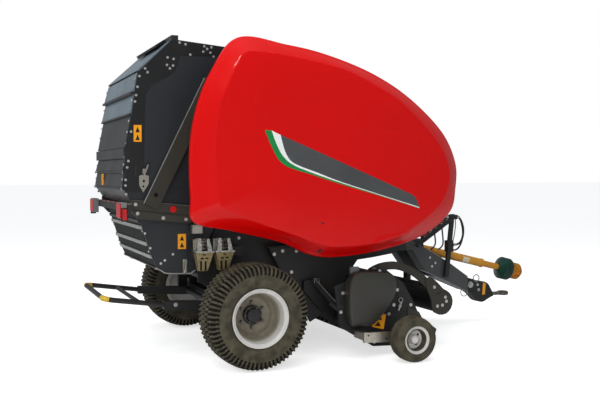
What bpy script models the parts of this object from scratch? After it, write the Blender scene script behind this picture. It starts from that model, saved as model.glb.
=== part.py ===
"""A towed round baler: chassis with a drop-down pickup, a tailgate and two gull-wing side covers.

Metres. X points forward from the wheel axle, Y to the machine's left and Z up from the ground.
"""

import math

import bmesh
import bpy
from mathutils import Matrix, Vector

# Overall lengths along X, measured from the wheel axle
FRONT_REACH = 3.468
REAR_REACH = 1.112
CENTRE_X = (FRONT_REACH - REAR_REACH) / 2

# Fits
SEAT = 0.0003
RUNNING = 0.0006
CLEAR = 0.008

# Bale chamber and its side walls
WALL_OUTER = 0.650
WALL = 0.010
WALL_INNER = WALL_OUTER - WALL
CHAMBER_X, CHAMBER_Z, CHAMBER_R = -0.12, 1.50, 0.74
BELT_HALF = 0.60
BELT = 0.012
BELT_ROLLER_R = 0.050

# Lower frame
LOWER_OUTER = 0.750
PIN_R = 0.025
EAR_FACES = (0.6603, 0.6803)

# Tailgate cylinders: pin on the frame and eye on the tailgate
CYL_FOOT = (0.45, 1.20)
CYL_EYE = (-0.20, 2.05)
CYL_Y = 0.705
CYL_MOUTH = 0.86

# Main wheels
WHEEL_R = 0.425
WHEEL_Y = 1.060
TYRE_WIDTH = 0.390
RIM_R = 0.205
FLANGE_R = 0.236
STUB_R = 0.035
WHEEL_STEPS = 28

# Gauge wheels
GAUGE_X, GAUGE_Y, GAUGE_R = 1.300, 1.370, 0.190
GAUGE_WIDTH = 0.165
GAUGE_RIM_R = 0.100
GAUGE_STEPS = 20

# Tailgate
TAILGATE_PIVOT = (-0.05, 0.0, 2.50)
SKIN = 0.008

# Bale ramp
RAMP_X, RAMP_Z = -0.130, 0.440

# Side covers
COVER_RIM_Y = 1.100
COVER_EDGE_Y = 0.970
COVER_CREASE_Y = 1.190
COVER_FACE_Y = 1.220
COVER_WALL = 0.012
COVER_HINGE_Y, COVER_HINGE_Z = 0.950, 2.500
COVER_HINGE_XS = (0.10, 0.55)
OUTRIGGER_Z = (2.395, 2.420)
HOOD_DROP = 0.085
HOOD_HALF = 0.900
HOOD = 0.008
TRAY_Z = 1.620
TRAY_XS = (0.86, 1.50)
NET_ROLL = (1.28, 1.80)

# Pickup
PICKUP_PIVOT = (0.62, 0.0, 0.60)
ROTOR_R = 0.190
REEL_X, REEL_Z = 1.200, 0.380
REEL_R = 0.180
STRIPPER_R = 0.275
STRIPPER = 0.010
PICKUP_HALF = 1.050
PICKUP_PLATE = 0.015
GUARD_PIVOT = (1.150, 0.0, 0.720)
GUARD_ROLLER = (1.845, 0.0, 0.405)
GUARD_ROLLER_R = 0.100
GUARD_Y = 0.950
GUARD_PLATE = 0.016

# Drawbar
FORK_X, FORK_INNER = 2.330, 0.120
BAR_FRONT_X = 2.720
BEAM_FRONT_X = 1.600

# Drive shaft
SHAFT_PIVOT = (2.200, 0.0, 0.804)
SHAFT_END = (3.454, 0.0, 0.498)
SHAFT_R = 0.0425
INNER_R = 0.0330

# Parking jack
JACK_X, JACK_Y = 2.220, 0.285
JACK_R = 0.040
LEG_R = 0.031

# Outline of a side cover seen from the side, from its top rear corner and down the rear edge
COVER_OUTLINE = (
    (-0.145, 2.635), (-0.360, 2.360), (-0.500, 2.050), (-0.556, 1.740), (-0.560, 1.380),
    (-0.535, 1.190), (-0.160, 1.080), (0.262, 0.980), (0.508, 0.892), (0.752, 0.865),
    (1.175, 0.932), (1.568, 1.063), (1.785, 1.235), (1.864, 1.430), (1.850, 1.645),
    (1.700, 1.900), (1.394, 2.170), (1.054, 2.375), (0.637, 2.520), (0.283, 2.590),
)
COVER_CENTRE = (0.90, 1.72)
COVER_SPAN = 2

# Rear profile of the tailgate, from the front of its roof to the foot under the chamber
TAILGATE_LINE = (
    (-0.090, 2.627), (-0.552, 2.664), (-0.835, 2.382), (-0.862, 2.220), (-0.886, 2.044),
    (-0.908, 1.907), (-0.924, 1.771), (-0.946, 1.579), (-0.955, 1.435), (-0.880, 1.330),
    (-0.812, 1.150), (-0.745, 0.930), (-0.686, 0.790), (-0.600, 0.745), (-0.400, 0.735),
)

# Cross tubes of the tailgate: x, z and radius
TAILGATE_TUBES = ((-0.05, 2.50, 0.040), (-0.50, 2.50, 0.040), (-0.56, 0.79, 0.030))

# Ledges across the tailgate's rear face: bottom, top and how far they stand proud
TAILGATE_RIBS = ((2.205, 2.225, 0.028), (2.036, 2.050, 0.020), (1.690, 1.771, 0.020),
                 (1.572, 1.586, 0.020), (1.437, 1.452, 0.018))

PAINTS = {
    "cover_red": ((0.55, 0.010, 0.012), 0.22, 0.0),
    "chassis_grey": ((0.030, 0.031, 0.033), 0.55, 0.0),
    "panel_grey": ((0.045, 0.047, 0.050), 0.50, 0.0),
    "rubber": ((0.030, 0.030, 0.028), 0.85, 0.0),
    "rim_silver": ((0.62, 0.63, 0.64), 0.35, 0.6),
    "zinc": ((0.60, 0.58, 0.53), 0.40, 0.8),
    "shaft_ochre": ((0.72, 0.42, 0.05), 0.45, 0.0),
    "black_plastic": ((0.020, 0.020, 0.020), 0.50, 0.0),
    "lamp_red": ((0.45, 0.010, 0.008), 0.25, 0.0),
    "steel": ((0.30, 0.30, 0.30), 0.40, 0.9),
}


def new_collection(name):
    made = bpy.data.collections.new(name)
    bpy.context.scene.collection.children.link(made)
    return made


for old in list(bpy.data.objects):
    bpy.data.objects.remove(old, do_unlink=True)
PARTS = new_collection("round_baler")
CUTTERS = new_collection("cutters")
CUTTERS.hide_render = True
WORK = new_collection("work")

MACHINE = bpy.data.objects.new("baler", None)
PARTS.objects.link(MACHINE)
MACHINE.location = (-CENTRE_X, 0.0, 0.0)


def paint(name):
    """The Principled material of that name, made on its first use."""
    found = bpy.data.materials.get(name)
    if found:
        return found
    colour, roughness, metallic = PAINTS[name]
    made = bpy.data.materials.new(name)
    made.use_nodes = True
    shader = made.node_tree.nodes["Principled BSDF"]
    shader.inputs["Base Color"].default_value = (*colour, 1.0)
    shader.inputs["Roughness"].default_value = roughness
    shader.inputs["Metallic"].default_value = metallic
    return made


def joint(name, place, parent=None):
    """An empty on a joint's axis, which carries the pieces of one moving body."""
    made = bpy.data.objects.new(f"{name}_axis", None)
    PARTS.objects.link(made)
    made.parent = parent or MACHINE
    above = Vector(parent["place"]) if parent else Vector((0, 0, 0))
    made["place"] = place
    made.location = Vector(place) - above
    return made


def part(name, solid, colour, body=None, add=(), cut=()):
    """Names a solid, hangs it on its body and joins or cuts it with the others given."""
    above = Vector(body["place"]) if body else Vector((0, 0, 0))
    for one in (solid, *add, *cut):
        one.parent = body or MACHINE
        one.location = one.location - above
        for holder in list(one.users_collection):
            holder.objects.unlink(one)
    solid.name = name
    solid.data.name = name
    PARTS.objects.link(solid)
    solid.data.materials.clear()
    solid.data.materials.append(paint(colour))
    for others, operation in ((add, "UNION"), (cut, "DIFFERENCE")):
        for other in others:
            CUTTERS.objects.link(other)
            other.hide_render = True
            other.display_type = "WIRE"
            modifier = solid.modifiers.new(operation.lower(), "BOOLEAN")
            modifier.operation = operation
            modifier.object = other
    return solid


def from_bmesh(work, smooth=False):
    mesh = bpy.data.meshes.new("solid")
    work.to_mesh(mesh)
    work.free()
    if smooth:
        mesh.shade_smooth()
        mesh.set_sharp_from_angle(angle=math.radians(35))
    made = bpy.data.objects.new("solid", mesh)
    WORK.objects.link(made)
    return made


def as_mesh(source):
    """A welded mesh object in place of a curve, or of an object with modifiers."""
    bpy.context.view_layer.update()
    graph = bpy.context.evaluated_depsgraph_get()
    mesh = bpy.data.meshes.new_from_object(source.evaluated_get(graph))
    work = bmesh.new()
    work.from_mesh(mesh)
    work.transform(source.matrix_world)
    bmesh.ops.remove_doubles(work, verts=work.verts, dist=1e-5)
    bpy.data.objects.remove(source, do_unlink=True)
    return from_bmesh(work, smooth=True)


def box(low, high, bevel=0.0):
    """A block between two corners."""
    low, high = Vector(low), Vector(high)
    work = bmesh.new()
    bmesh.ops.create_cube(work, size=1.0)
    place = Matrix.Translation((low + high) / 2) @ Matrix.Diagonal((*(high - low), 1.0))
    work.transform(place)
    made = from_bmesh(work)
    if bevel:
        rounding = made.modifiers.new("edges", "BEVEL")
        rounding.width = bevel
        rounding.segments = 2
    return made


def round_bar(start, end, radius, sides=24, end_radius=None):
    """A cylinder or cone from one point to another."""
    start, end = Vector(start), Vector(end)
    along = end - start
    work = bmesh.new()
    bmesh.ops.create_cone(
        work, cap_ends=True, segments=sides, radius1=radius,
        radius2=radius if end_radius is None else end_radius, depth=along.length,
    )
    turn = along.to_track_quat("Z", "Y").to_matrix().to_4x4()
    work.transform(Matrix.Translation((start + end) / 2) @ turn)
    return from_bmesh(work, smooth=True)


def turned(profile, place, along, steps):
    """A closed profile of (radius, height) points turned about the line `along` through `place`."""
    return spindle([*profile, profile[0]], place, along, steps)


def spindle(profile, place, along, steps):
    """A profile turned about its axis from half a step round, so that a flat faces the ground."""
    half_step = math.pi / steps
    work = bmesh.new()
    points = {}
    for radius, height in profile:
        if (radius, height) not in points:
            at = (radius * math.cos(half_step), radius * math.sin(half_step), height)
            points[radius, height] = work.verts.new(at)
    for first, second in zip(profile, profile[1:]):
        work.edges.new((points[first], points[second]))
    made = from_bmesh(work)
    screw = made.modifiers.new("turn", "SCREW")
    screw.axis = "Z"
    screw.steps = steps
    screw.render_steps = steps
    screw.merge_threshold = 0.0001
    screw.use_merge_vertices = True
    made.rotation_mode = "QUATERNION"
    made.rotation_quaternion = Vector(along).to_track_quat("Z", "X")
    made.location = place
    return made


def spin_rim(profile, gap, place, side, steps):
    """Turns a rim whose profile touches the axis at (0, gap) and again just after it."""
    start = profile.index((0.0, gap)) + 1
    return spindle(profile[start:] + profile[:start], place, (0, side, 0), steps)


def plate(outline, low_y, high_y, holes=()):
    """A flat outline of (x, z) points, as thick as from low_y to high_y, with round holes."""
    curve = bpy.data.curves.new("plate", "CURVE")
    curve.dimensions = "2D"
    curve.fill_mode = "BOTH"
    curve.extrude = (high_y - low_y) / 2
    rings = [outline]
    for x, z, radius in holes:
        angles = [math.tau * step / 16 for step in range(16)]
        rings.append([(x + radius * math.cos(a), z + radius * math.sin(a)) for a in angles])
    for ring in rings:
        spline = curve.splines.new("POLY")
        spline.points.add(len(ring) - 1)
        for point, (x, z) in zip(spline.points, ring):
            point.co = (x, z, 0.0, 1.0)
        spline.use_cyclic_u = True
    made = bpy.data.objects.new("plate", curve)
    WORK.objects.link(made)
    made.rotation_euler = (math.pi / 2, 0.0, 0.0)
    made.location = (0.0, (low_y + high_y) / 2, 0.0)
    return as_mesh(made)


def tube(points, radius, resolution=3, closed=False):
    """A round tube along a polyline."""
    curve = bpy.data.curves.new("tube", "CURVE")
    curve.dimensions = "3D"
    curve.bevel_depth = radius
    curve.bevel_resolution = resolution
    curve.use_fill_caps = True
    spline = curve.splines.new("POLY")
    spline.points.add(len(points) - 1)
    for point, place in zip(spline.points, points):
        point.co = (*place, 1.0)
    spline.use_cyclic_u = closed
    made = bpy.data.objects.new("tube", curve)
    WORK.objects.link(made)
    return as_mesh(made)


def loft(sections):
    """A beam through rectangular sections, each given as x, half width, bottom and top."""
    work = bmesh.new()
    rings = []
    for x, half, bottom, top in sections:
        corners = ((x, -half, bottom), (x, half, bottom), (x, half, top), (x, -half, top))
        rings.append([work.verts.new(corner) for corner in corners])
    for first, second in zip(rings, rings[1:]):
        for i in range(4):
            j = (i + 1) % 4
            work.faces.new((first[i], first[j], second[j], second[i]))
    work.faces.new(rings[0])
    work.faces.new(rings[-1])
    bmesh.ops.recalc_face_normals(work, faces=work.faces)
    return from_bmesh(work)


def offset(line, distance, closed=False):
    """The polyline moved to its left by the distance, with mitred corners."""
    points = [Vector(point) for point in line]
    count = len(points)
    moved = []
    for i, point in enumerate(points):
        before = points[i - 1] if i or closed else None
        after = points[(i + 1) % count] if i < count - 1 or closed else None
        normals = []
        if before is not None:
            run = (point - before).normalized()
            normals.append(Vector((-run.y, run.x)))
        if after is not None:
            run = (after - point).normalized()
            normals.append(Vector((-run.y, run.x)))
        mean = sum(normals, Vector((0, 0))).normalized()
        moved.append(tuple(point + mean * distance / mean.dot(normals[0])))
    return moved


def strip(line, inner, outer):
    """The closed outline between two offsets of a polyline."""
    return offset(line, inner) + offset(line, outer)[::-1]


def arc(centre, radius, start, end, count):
    """Points on an arc in the XZ plane, angles in degrees from +X towards +Z."""
    angles = [math.radians(start + (end - start) * i / count) for i in range(count + 1)]
    return [(centre[0] + radius * math.cos(a), centre[1] + radius * math.sin(a)) for a in angles]


def smooth(points, per_span, closed=False):
    """A Catmull-Rom curve through the points."""
    found = [Vector(point) for point in points]
    count = len(found)
    spans = count if closed else count - 1
    curve = []
    for i in range(spans):
        if closed:
            a, b, c, d = (found[(i + k) % count] for k in (-1, 0, 1, 2))
        else:
            a, b, c, d = (found[min(max(i + k, 0), count - 1)] for k in (-1, 0, 1, 2))
        for step in range(per_span):
            t = step / per_span
            bend = (2 * a - 5 * b + 4 * c - d) * t + (3 * b - a - 3 * c + d) * t * t
            curve.append(tuple(b + 0.5 * ((c - a) + bend) * t))
    if not closed:
        curve.append(tuple(found[-1]))
    return curve


def across_z(line, x):
    """Height of a polyline where it passes over x."""
    for (x0, z0), (x1, z1) in zip(line, line[1:]):
        if (x0 - x) * (x1 - x) <= 0 and x0 != x1:
            return z0 + (z1 - z0) * (x - x0) / (x1 - x0)
    return line[-1][1]


def sides():
    """The right side, at negative Y, then the left."""
    return (("right", -1), ("left", 1))


def span(side, inner, outer):
    """The Y range from inner to outer on one side."""
    return tuple(sorted((side * inner, side * outer)))


# The hood line follows the covers' top and front edge, a little inside it.
cover_loop = smooth(COVER_OUTLINE, COVER_SPAN, closed=True)
cover_top = cover_loop[COVER_SPAN * 15 :] + cover_loop[:1]
hood_edge = [point for point in cover_loop[COVER_SPAN * 11 :] if point[0] > 0.05]
hood_line = offset(hood_edge[::-1], -HOOD_DROP)


def hood_piece(start, end):
    """The stretch of the hood line between two of its points."""
    return hood_line[start : end + 1]


HOOD_COUNT = len(hood_line)
LID_START = next(i for i, point in enumerate(hood_line) if point[0] > 1.28)
LID_END = next(i for i, point in enumerate(hood_line) if point[0] > 1.2 and point[1] < 1.50)


def trimmed(line, start_gap, end_gap):
    """A polyline shortened at its two ends."""
    points = [Vector(point) for point in line]
    points[0] += (points[1] - points[0]).normalized() * start_gap
    points[-1] += (points[-2] - points[-1]).normalized() * end_gap
    return [tuple(point) for point in points]


def chamber_walls():
    """Outline of one chassis side wall: rear edge, then under the hood, then the bottom."""
    under_hood = offset(hood_line, -(HOOD + SEAT))
    rear = [(0.10, 2.42), (0.06, 2.34), (-0.10, 2.20), (-0.10, 1.50), (-0.19, 1.10), (-0.345, 0.76)]
    bottom = [(-0.34, 0.66), (-0.12, 0.54), (0.12, 0.54), (0.30, 0.42), (0.62, 0.42),
              (0.80, 0.56), (1.10, 0.78), (1.45, 0.84), (1.60, 0.88)]
    return rear + bottom + under_hood[::-1]


def cross_bar(x, z, y0, y1, radius, sides_round=16):
    """A round bar across the machine."""
    return round_bar((x, y0, z), (x, y1, z), radius, sides_round)


def chassis():
    """The welded frame: side walls, lower plates, cross beams and the tailgate's pivot ears."""
    outline = chamber_walls()
    low = [(0.246, 0.943), (0.636, 0.275), (0.80, 0.36), (0.92, 0.56), (1.02, 0.70), (1.10, 0.80),
           (1.25, 0.815), (1.50, 0.85), (1.50, 0.96), (0.57, 0.96)]
    pivot_x, _, pivot_z = TAILGATE_PIVOT
    ear = [(0.30, 2.24), (0.30, 2.40), (0.05, 2.44), *arc((pivot_x, pivot_z), 0.065, 60, 240, 6),
           (0.04, 2.30), (0.12, 2.24)]
    added = []
    for _, side in sides():
        added.append(plate(outline, *span(side, WALL_INNER, WALL_OUTER)))
        added.append(plate(low, *span(side, LOWER_OUTER - WALL, LOWER_OUTER)))
        eye = [(pivot_x, pivot_z, PIN_R + RUNNING)]
        added.append(plate(ear, *span(side, *EAR_FACES), holes=eye))
        y0, y1 = span(side, 0.645, 0.675)
        added.append(box((0.16, y0, 2.26), (0.28, y1, 2.38)))
        for x in COVER_HINGE_XS:
            y0, y1 = span(side, 0.645, COVER_HINGE_Y - 0.012)
            added.append(box((x - 0.02, y0, OUTRIGGER_Z[0]), (x + 0.02, y1, OUTRIGGER_Z[1])))
            y0, y1 = span(side, HOOD_HALF + 0.006, COVER_HINGE_Y)
            added.append(box((x - 0.02, y0, OUTRIGGER_Z[0]), (x + 0.02, y1, COVER_HINGE_Z)))
            start = (x - 0.02, side * COVER_HINGE_Y, COVER_HINGE_Z)
            added.append(round_bar(start, (x + 0.02, *start[1:]), 0.015, 12))
        added.append(cross_bar(*CYL_FOOT, *span(side, 0.645, 0.6647), 0.045))
        y0, y1 = span(side, 0.600, 0.660)
        added.append(box((-0.06, y0, 0.485), (0.10, y1, 0.60)))
        y0, y1 = span(side, 0.600 + RUNNING, 0.645)
        added.append(box((RAMP_X - 0.045, y0, RAMP_Z - 0.045), (RAMP_X + 0.045, y1, 0.60)))
    beams = [
        box((1.46, -0.75, 0.865), (BEAM_FRONT_X, 0.75, 0.985)),
        cross_bar(0.78, 0.88, -0.745, 0.745, 0.040),
        cross_bar(-0.26, 0.70, -0.645, 0.645, 0.035),
        cross_bar(0.98, 2.10, -0.645, 0.645, 0.045),
        box((0.32, -0.645, 0.425), (0.60, 0.645, 0.440)),
    ]
    part("main_frame", added[0], "chassis_grey", add=[*added[1:], *beams])


def axle():
    """Square axle beam under the frame with a stub at each end for the hub."""
    stubs = []
    for _, side in sides():
        y0 = side * 0.80
        stubs.append(round_bar((0, y0, WHEEL_R), (0, side * 1.050, WHEEL_R), STUB_R, 16))
    beam = box((-0.055, -0.84, WHEEL_R - 0.055), (0.055, 0.84, WHEEL_R + 0.0597))
    return part("axle_beam", beam, "chassis_grey", add=stubs)


def main_wheels():
    """Wide flotation tyres on deep-dished steel rims; each pair turns on its stub."""
    widen = 1 / math.cos(math.pi / WHEEL_STEPS)
    half = TYRE_WIDTH / 2
    bead = half - 0.032
    crown = WHEEL_R * widen
    for name, side in sides():
        body = joint(f"wheel_{name}", (0.0, side * WHEEL_Y, WHEEL_R))
        profile = [
            (crown, 0.05), (crown, -0.05), (crown - 0.022, -half + 0.055), (0.370, -half + 0.010),
            (0.310, -half), (0.262, -half + 0.008), (FLANGE_R, -bead), (RIM_R + SEAT, -bead),
            (RIM_R + SEAT, bead), (FLANGE_R, bead), (0.262, half - 0.008), (0.310, half),
            (0.370, half - 0.010), (crown - 0.022, half - 0.055),
        ]
        centre = (0.0, side * WHEEL_Y, WHEEL_R)
        part(f"tyre_{name}", turned(profile, centre, (0, side, 0), WHEEL_STEPS), "rubber", body)
        disc = -0.045
        lip = bead + SEAT
        rim = [
            (RIM_R, lip), (RIM_R, -lip), (RIM_R + 0.020, -lip), (RIM_R + 0.020, -lip - 0.008),
            (RIM_R - 0.010, -lip - 0.008), (RIM_R - 0.010, disc - 0.012), (0.080, disc - 0.012),
            (0.080, -0.170), (STUB_R + RUNNING, -0.170), (STUB_R + RUNNING, 0.0), (0.0, 0.0),
            (0.0, 0.030), (0.070, 0.030), (0.080, disc), (RIM_R - 0.010, disc),
            (RIM_R - 0.010, lip + 0.008), (RIM_R + 0.026, lip + 0.014), (RIM_R + 0.026, lip),
        ]
        part(f"rim_{name}", spin_rim(rim, 0.0, centre, side, WHEEL_STEPS), "rim_silver", body)


def rams():
    """Tailgate cylinders, barrel hinged on the frame and the rod's eye by the tailgate's boss."""
    foot, eye = Vector((CYL_FOOT[0], 0, CYL_FOOT[1])), Vector((CYL_EYE[0], 0, CYL_EYE[1]))
    run = (eye - foot).normalized()
    mouth = foot + run * CYL_MOUTH
    for name, side in sides():
        y = Vector((0, side * CYL_Y, 0))
        body = joint(f"ram_barrel_{name}", tuple(foot + y))
        y0, y1 = span(side, CYL_Y - 0.040, CYL_Y + 0.040)
        bore = round_bar(foot + y + run * 0.10, mouth + y + run * 0.05, 0.0205, 16)
        barrel = round_bar(foot + y, mouth + y, 0.036, 20)
        ring = cross_bar(*CYL_FOOT, y0, y1, 0.045)
        part(f"ram_barrel_{name}", barrel, "chassis_grey", body, add=[ring], cut=[bore])
        slide = joint(f"ram_rod_{name}", tuple(foot + y), body)
        end = cross_bar(*CYL_EYE, y0 + 0.005, y1 - 0.005, 0.034)
        rod = round_bar(foot + y + run * 0.12, eye + y, 0.020, 16)
        part(f"ram_rod_{name}", rod, "steel", slide, add=[end])


def hood():
    """Roof sheet, net roll lid and front panel between the side covers."""
    roof = strip(hood_piece(0, LID_START), 0.0, -HOOD)
    part("roof_panel", plate(roof, -HOOD_HALF, HOOD_HALF), "panel_grey")
    front = strip(trimmed(hood_piece(LID_END, HOOD_COUNT - 1), CLEAR, 0.0), 0.0, -HOOD)
    front_panel = plate(front, -HOOD_HALF, HOOD_HALF)
    part("front_panel", front_panel, "panel_grey")
    hinge_x, hinge_z = hood_line[LID_START]
    body = joint("net_lid", (hinge_x, 0.0, hinge_z))
    lid_line = trimmed(hood_piece(LID_START, LID_END), 0.0008, 0.0)
    part("net_lid", plate(strip(lid_line, 0.0, -HOOD), -HOOD_HALF, HOOD_HALF), "panel_grey", body)
    reach = WALL_INNER - SEAT
    tray = box((TRAY_XS[0], -reach, TRAY_Z), (TRAY_XS[1], reach, TRAY_Z + 0.010))
    x, z = NET_ROLL
    rolls = [round_bar((x, -reach, z), (x, reach, z), 0.045, 16)]
    rolls += [box((x - 0.02, y - 0.01, TRAY_Z - 0.01), (x + 0.02, y + 0.01, z)) for y in (-0.54, 0.54)]
    part("net_tray", tray, "chassis_grey", add=rolls)


def belts():
    """Broad rubber belts round the bale chamber, with the rollers that carry their ends."""
    centre = (CHAMBER_X, CHAMBER_Z)
    for name, body, start, end in (
        ("front_belts", None, 70, -40), ("tailgate_belts", TAILGATE, 108, 232),
    ):
        line = arc(centre, CHAMBER_R, start, end, 14)
        outline = line + arc(centre, CHAMBER_R + BELT, end, start, 14)
        rollers = []
        for angle in (start, end):
            x, z = arc(centre, CHAMBER_R + BELT_ROLLER_R, angle, angle, 1)[0]
            reach = WALL_INNER - SEAT
            rollers.append(round_bar((x, -reach, z), (x, reach, z), BELT_ROLLER_R, 16))
        part(name, plate(outline, -BELT_HALF, BELT_HALF), "rubber", body, add=rollers)


def tailgate():
    """Side walls and cross tubes, the rear skin, rails, braces and the lamp bar."""
    pivot_x, _, pivot_z = TAILGATE_PIVOT
    inner = offset(TAILGATE_LINE, SKIN + SEAT)
    front = [(-0.360, 0.760), (-0.205, 1.100), (-0.110, 1.500), (-0.110, 2.200), (-0.020, 2.420)]
    outline = inner + front + arc((pivot_x, pivot_z), 0.065, -50, 60, 4)
    y = WALL_OUTER
    added = []
    for _, side in sides():
        added.append(plate(outline, *span(side, y - WALL, y)))
        added.append(cross_bar(pivot_x, pivot_z, *span(side, 0.60, 0.680), PIN_R))
    reach = y - 0.005
    tubes = [cross_bar(x, z, -reach, reach, radius) for x, z, radius in TAILGATE_TUBES]
    part("tailgate_frame", added[0], "panel_grey", TAILGATE, add=[*added[1:], *tubes])
    skin = plate(strip(TAILGATE_LINE, 0.0, SKIN), -y, y)
    ribs = [box((-0.556, -y, 2.658), (-0.500, y, 2.697))]
    for low_z, high_z, proud in TAILGATE_RIBS:
        face = across_z([(z, x) for x, z in TAILGATE_LINE], low_z)
        ribs.append(box((face - proud, -y, low_z), (face + SKIN / 2, y, high_z)))
    part("tailgate_skin", skin, "panel_grey", TAILGATE, add=ribs)
    rail = [(-0.900, 1.354), (-0.900, 1.262), (-0.840, 1.199), (-0.407, 1.157), (-0.407, 1.298)]
    foot, top = Vector((-0.745, 1.300)), Vector((-0.235, 2.330))
    run = (top - foot).normalized()
    half = Vector((-run.y, run.x)) * 0.062
    brace = [tuple(foot - half), tuple(top - half), tuple(top + half), tuple(foot + half)]
    bar = box((-0.945, -0.76, 1.262), (-0.900 - SEAT, 0.76, 1.322))
    part("lamp_bar", bar, "chassis_grey", TAILGATE)
    for name, side in sides():
        y0, y1 = span(side, y + SEAT, y + 0.035)
        part(f"tailgate_rail_{name}", plate(rail, y0, y1), "panel_grey", TAILGATE)
        strut = plate(brace, *span(side, y + 0.035 + SEAT, y + 0.047), holes=[(-0.703, 1.393, 0.018)])
        lug = cross_bar(*top, *span(side, y + SEAT, y + 0.040), 0.040, 12)
        part(f"tailgate_brace_{name}", strut, "panel_grey", TAILGATE, add=[lug])
        y0, y1 = span(side, 0.575, 0.745)
        lamp = box((-0.995, y0, 1.225), (-0.945 - SEAT, y1, 1.325), 0.008)
        part(f"lamp_{name}", lamp, "lamp_red", TAILGATE)


def side_covers():
    """Gull-wing covers: a dished shell with a crease round its face, hinged near its top edge."""
    centre = Vector(COVER_CENTRE)
    rings = ((1.0, COVER_EDGE_Y), (1.0, COVER_RIM_Y), (0.985, COVER_RIM_Y + 0.020),
             (0.84, COVER_CREASE_Y), (0.50, COVER_FACE_Y))
    for name, side in sides():
        body = joint(f"side_cover_{name}", (0.0, side * COVER_HINGE_Y, COVER_HINGE_Z))
        work = bmesh.new()
        loops = []
        for share, y in rings:
            points = [centre + (Vector(point) - centre) * share for point in cover_loop]
            loops.append([work.verts.new((x, side * y, z)) for x, z in points])
        count = len(cover_loop)
        for first, second in zip(loops, loops[1:]):
            for i in range(count):
                j = (i + 1) % count
                work.faces.new((first[i], first[j], second[j], second[i]))
        middle = work.verts.new((centre.x, side * (COVER_FACE_Y + 0.002), centre.y))
        for i in range(count):
            work.faces.new((loops[-1][i], loops[-1][(i + 1) % count], middle))
        if side > 0:
            bmesh.ops.reverse_faces(work, faces=work.faces)
        shell = from_bmesh(work, smooth=True)
        wall = shell.modifiers.new("wall", "SOLIDIFY")
        wall.thickness = COVER_WALL
        wall.offset = -1.0
        lugs = []
        for x in COVER_HINGE_XS:
            top = across_z(cover_top, x) - COVER_WALL + 0.004
            low_x = x + 0.020 + SEAT
            y0, y1 = span(side, COVER_HINGE_Y - 0.015, COVER_RIM_Y)
            lugs.append(box((low_x, y0, COVER_HINGE_Z - 0.015), (low_x + 0.012, y1, COVER_HINGE_Z + 0.012)))
            y0, y1 = span(side, COVER_RIM_Y - 0.060, COVER_RIM_Y)
            lugs.append(box((low_x, y0, COVER_HINGE_Z - 0.015), (low_x + 0.012, y1, top)))
        part(f"side_cover_{name}", shell, "cover_red", body, add=lugs)


def pickup():
    """Side plates and cross tube, the stripper shell, plastic side covers and gauge wheel arms."""
    pivot_x, _, pivot_z = PICKUP_PIVOT
    outline = [(0.72, 0.62), (1.07, 0.75), (1.20, 0.75), (1.381, 0.619), (1.47, 0.48), (1.56, 0.30),
               (1.708, 0.186), (1.640, 0.125), (1.35, 0.075), (1.089, 0.086), (0.775, 0.272)]
    arm = [(0.56, 0.56), (0.56, 0.64), (0.66, 0.66), (0.93, 0.40), (0.93, 0.24), (0.84, 0.24)]
    added = []
    for _, side in sides():
        added.append(plate(outline, *span(side, PICKUP_HALF, PICKUP_HALF + PICKUP_PLATE)))
        added.append(plate(arm, *span(side, LOWER_OUTER + RUNNING, 0.790)))
    tube_across = cross_bar(0.885, 0.300, -PICKUP_HALF - 0.005, PICKUP_HALF + 0.005, 0.045)
    part("pickup_frame", added[0], "chassis_grey", PICKUP, add=[*added[1:], tube_across])
    outer = arc((REEL_X, REEL_Z), STRIPPER_R, 118, -118, 24)
    inner = arc((REEL_X, REEL_Z), STRIPPER_R - STRIPPER, -118, 118, 24)
    part("pickup_strippers", plate(outer + inner, -PICKUP_HALF + SEAT, PICKUP_HALF - SEAT),
         "chassis_grey", PICKUP)
    cover = smooth([(0.90, 0.735), (0.83, 0.66), (0.815, 0.50), (0.835, 0.31), (0.90, 0.285),
                    (1.05, 0.290), (1.18, 0.42), (1.262, 0.55), (1.262, 0.66), (1.19, 0.715),
                    (1.05, 0.740)], 2, closed=True)
    bar = [(0.896, 0.168), (0.896, 0.252), (1.340, 0.232), (1.340, 0.148)]
    for name, side in sides():
        outer_plate = PICKUP_HALF + PICKUP_PLATE
        bulge = plate(cover, *span(side, outer_plate + SEAT, 1.170))
        part(f"pickup_cover_{name}", bulge, "black_plastic", PICKUP)
        y0, y1 = span(side, outer_plate + SEAT, 1.250)
        stem = box((0.905, y0, 0.180), (0.965, y1, 0.240))
        y0, y1 = side * 1.250, side * 1.385
        stub = round_bar((GAUGE_X, y0, GAUGE_R), (GAUGE_X, y1, GAUGE_R), 0.015, 16)
        part(f"wheel_arm_{name}", plate(bar, *span(side, 1.245, 1.270)), "zinc", PICKUP, add=[stem, stub])


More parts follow.
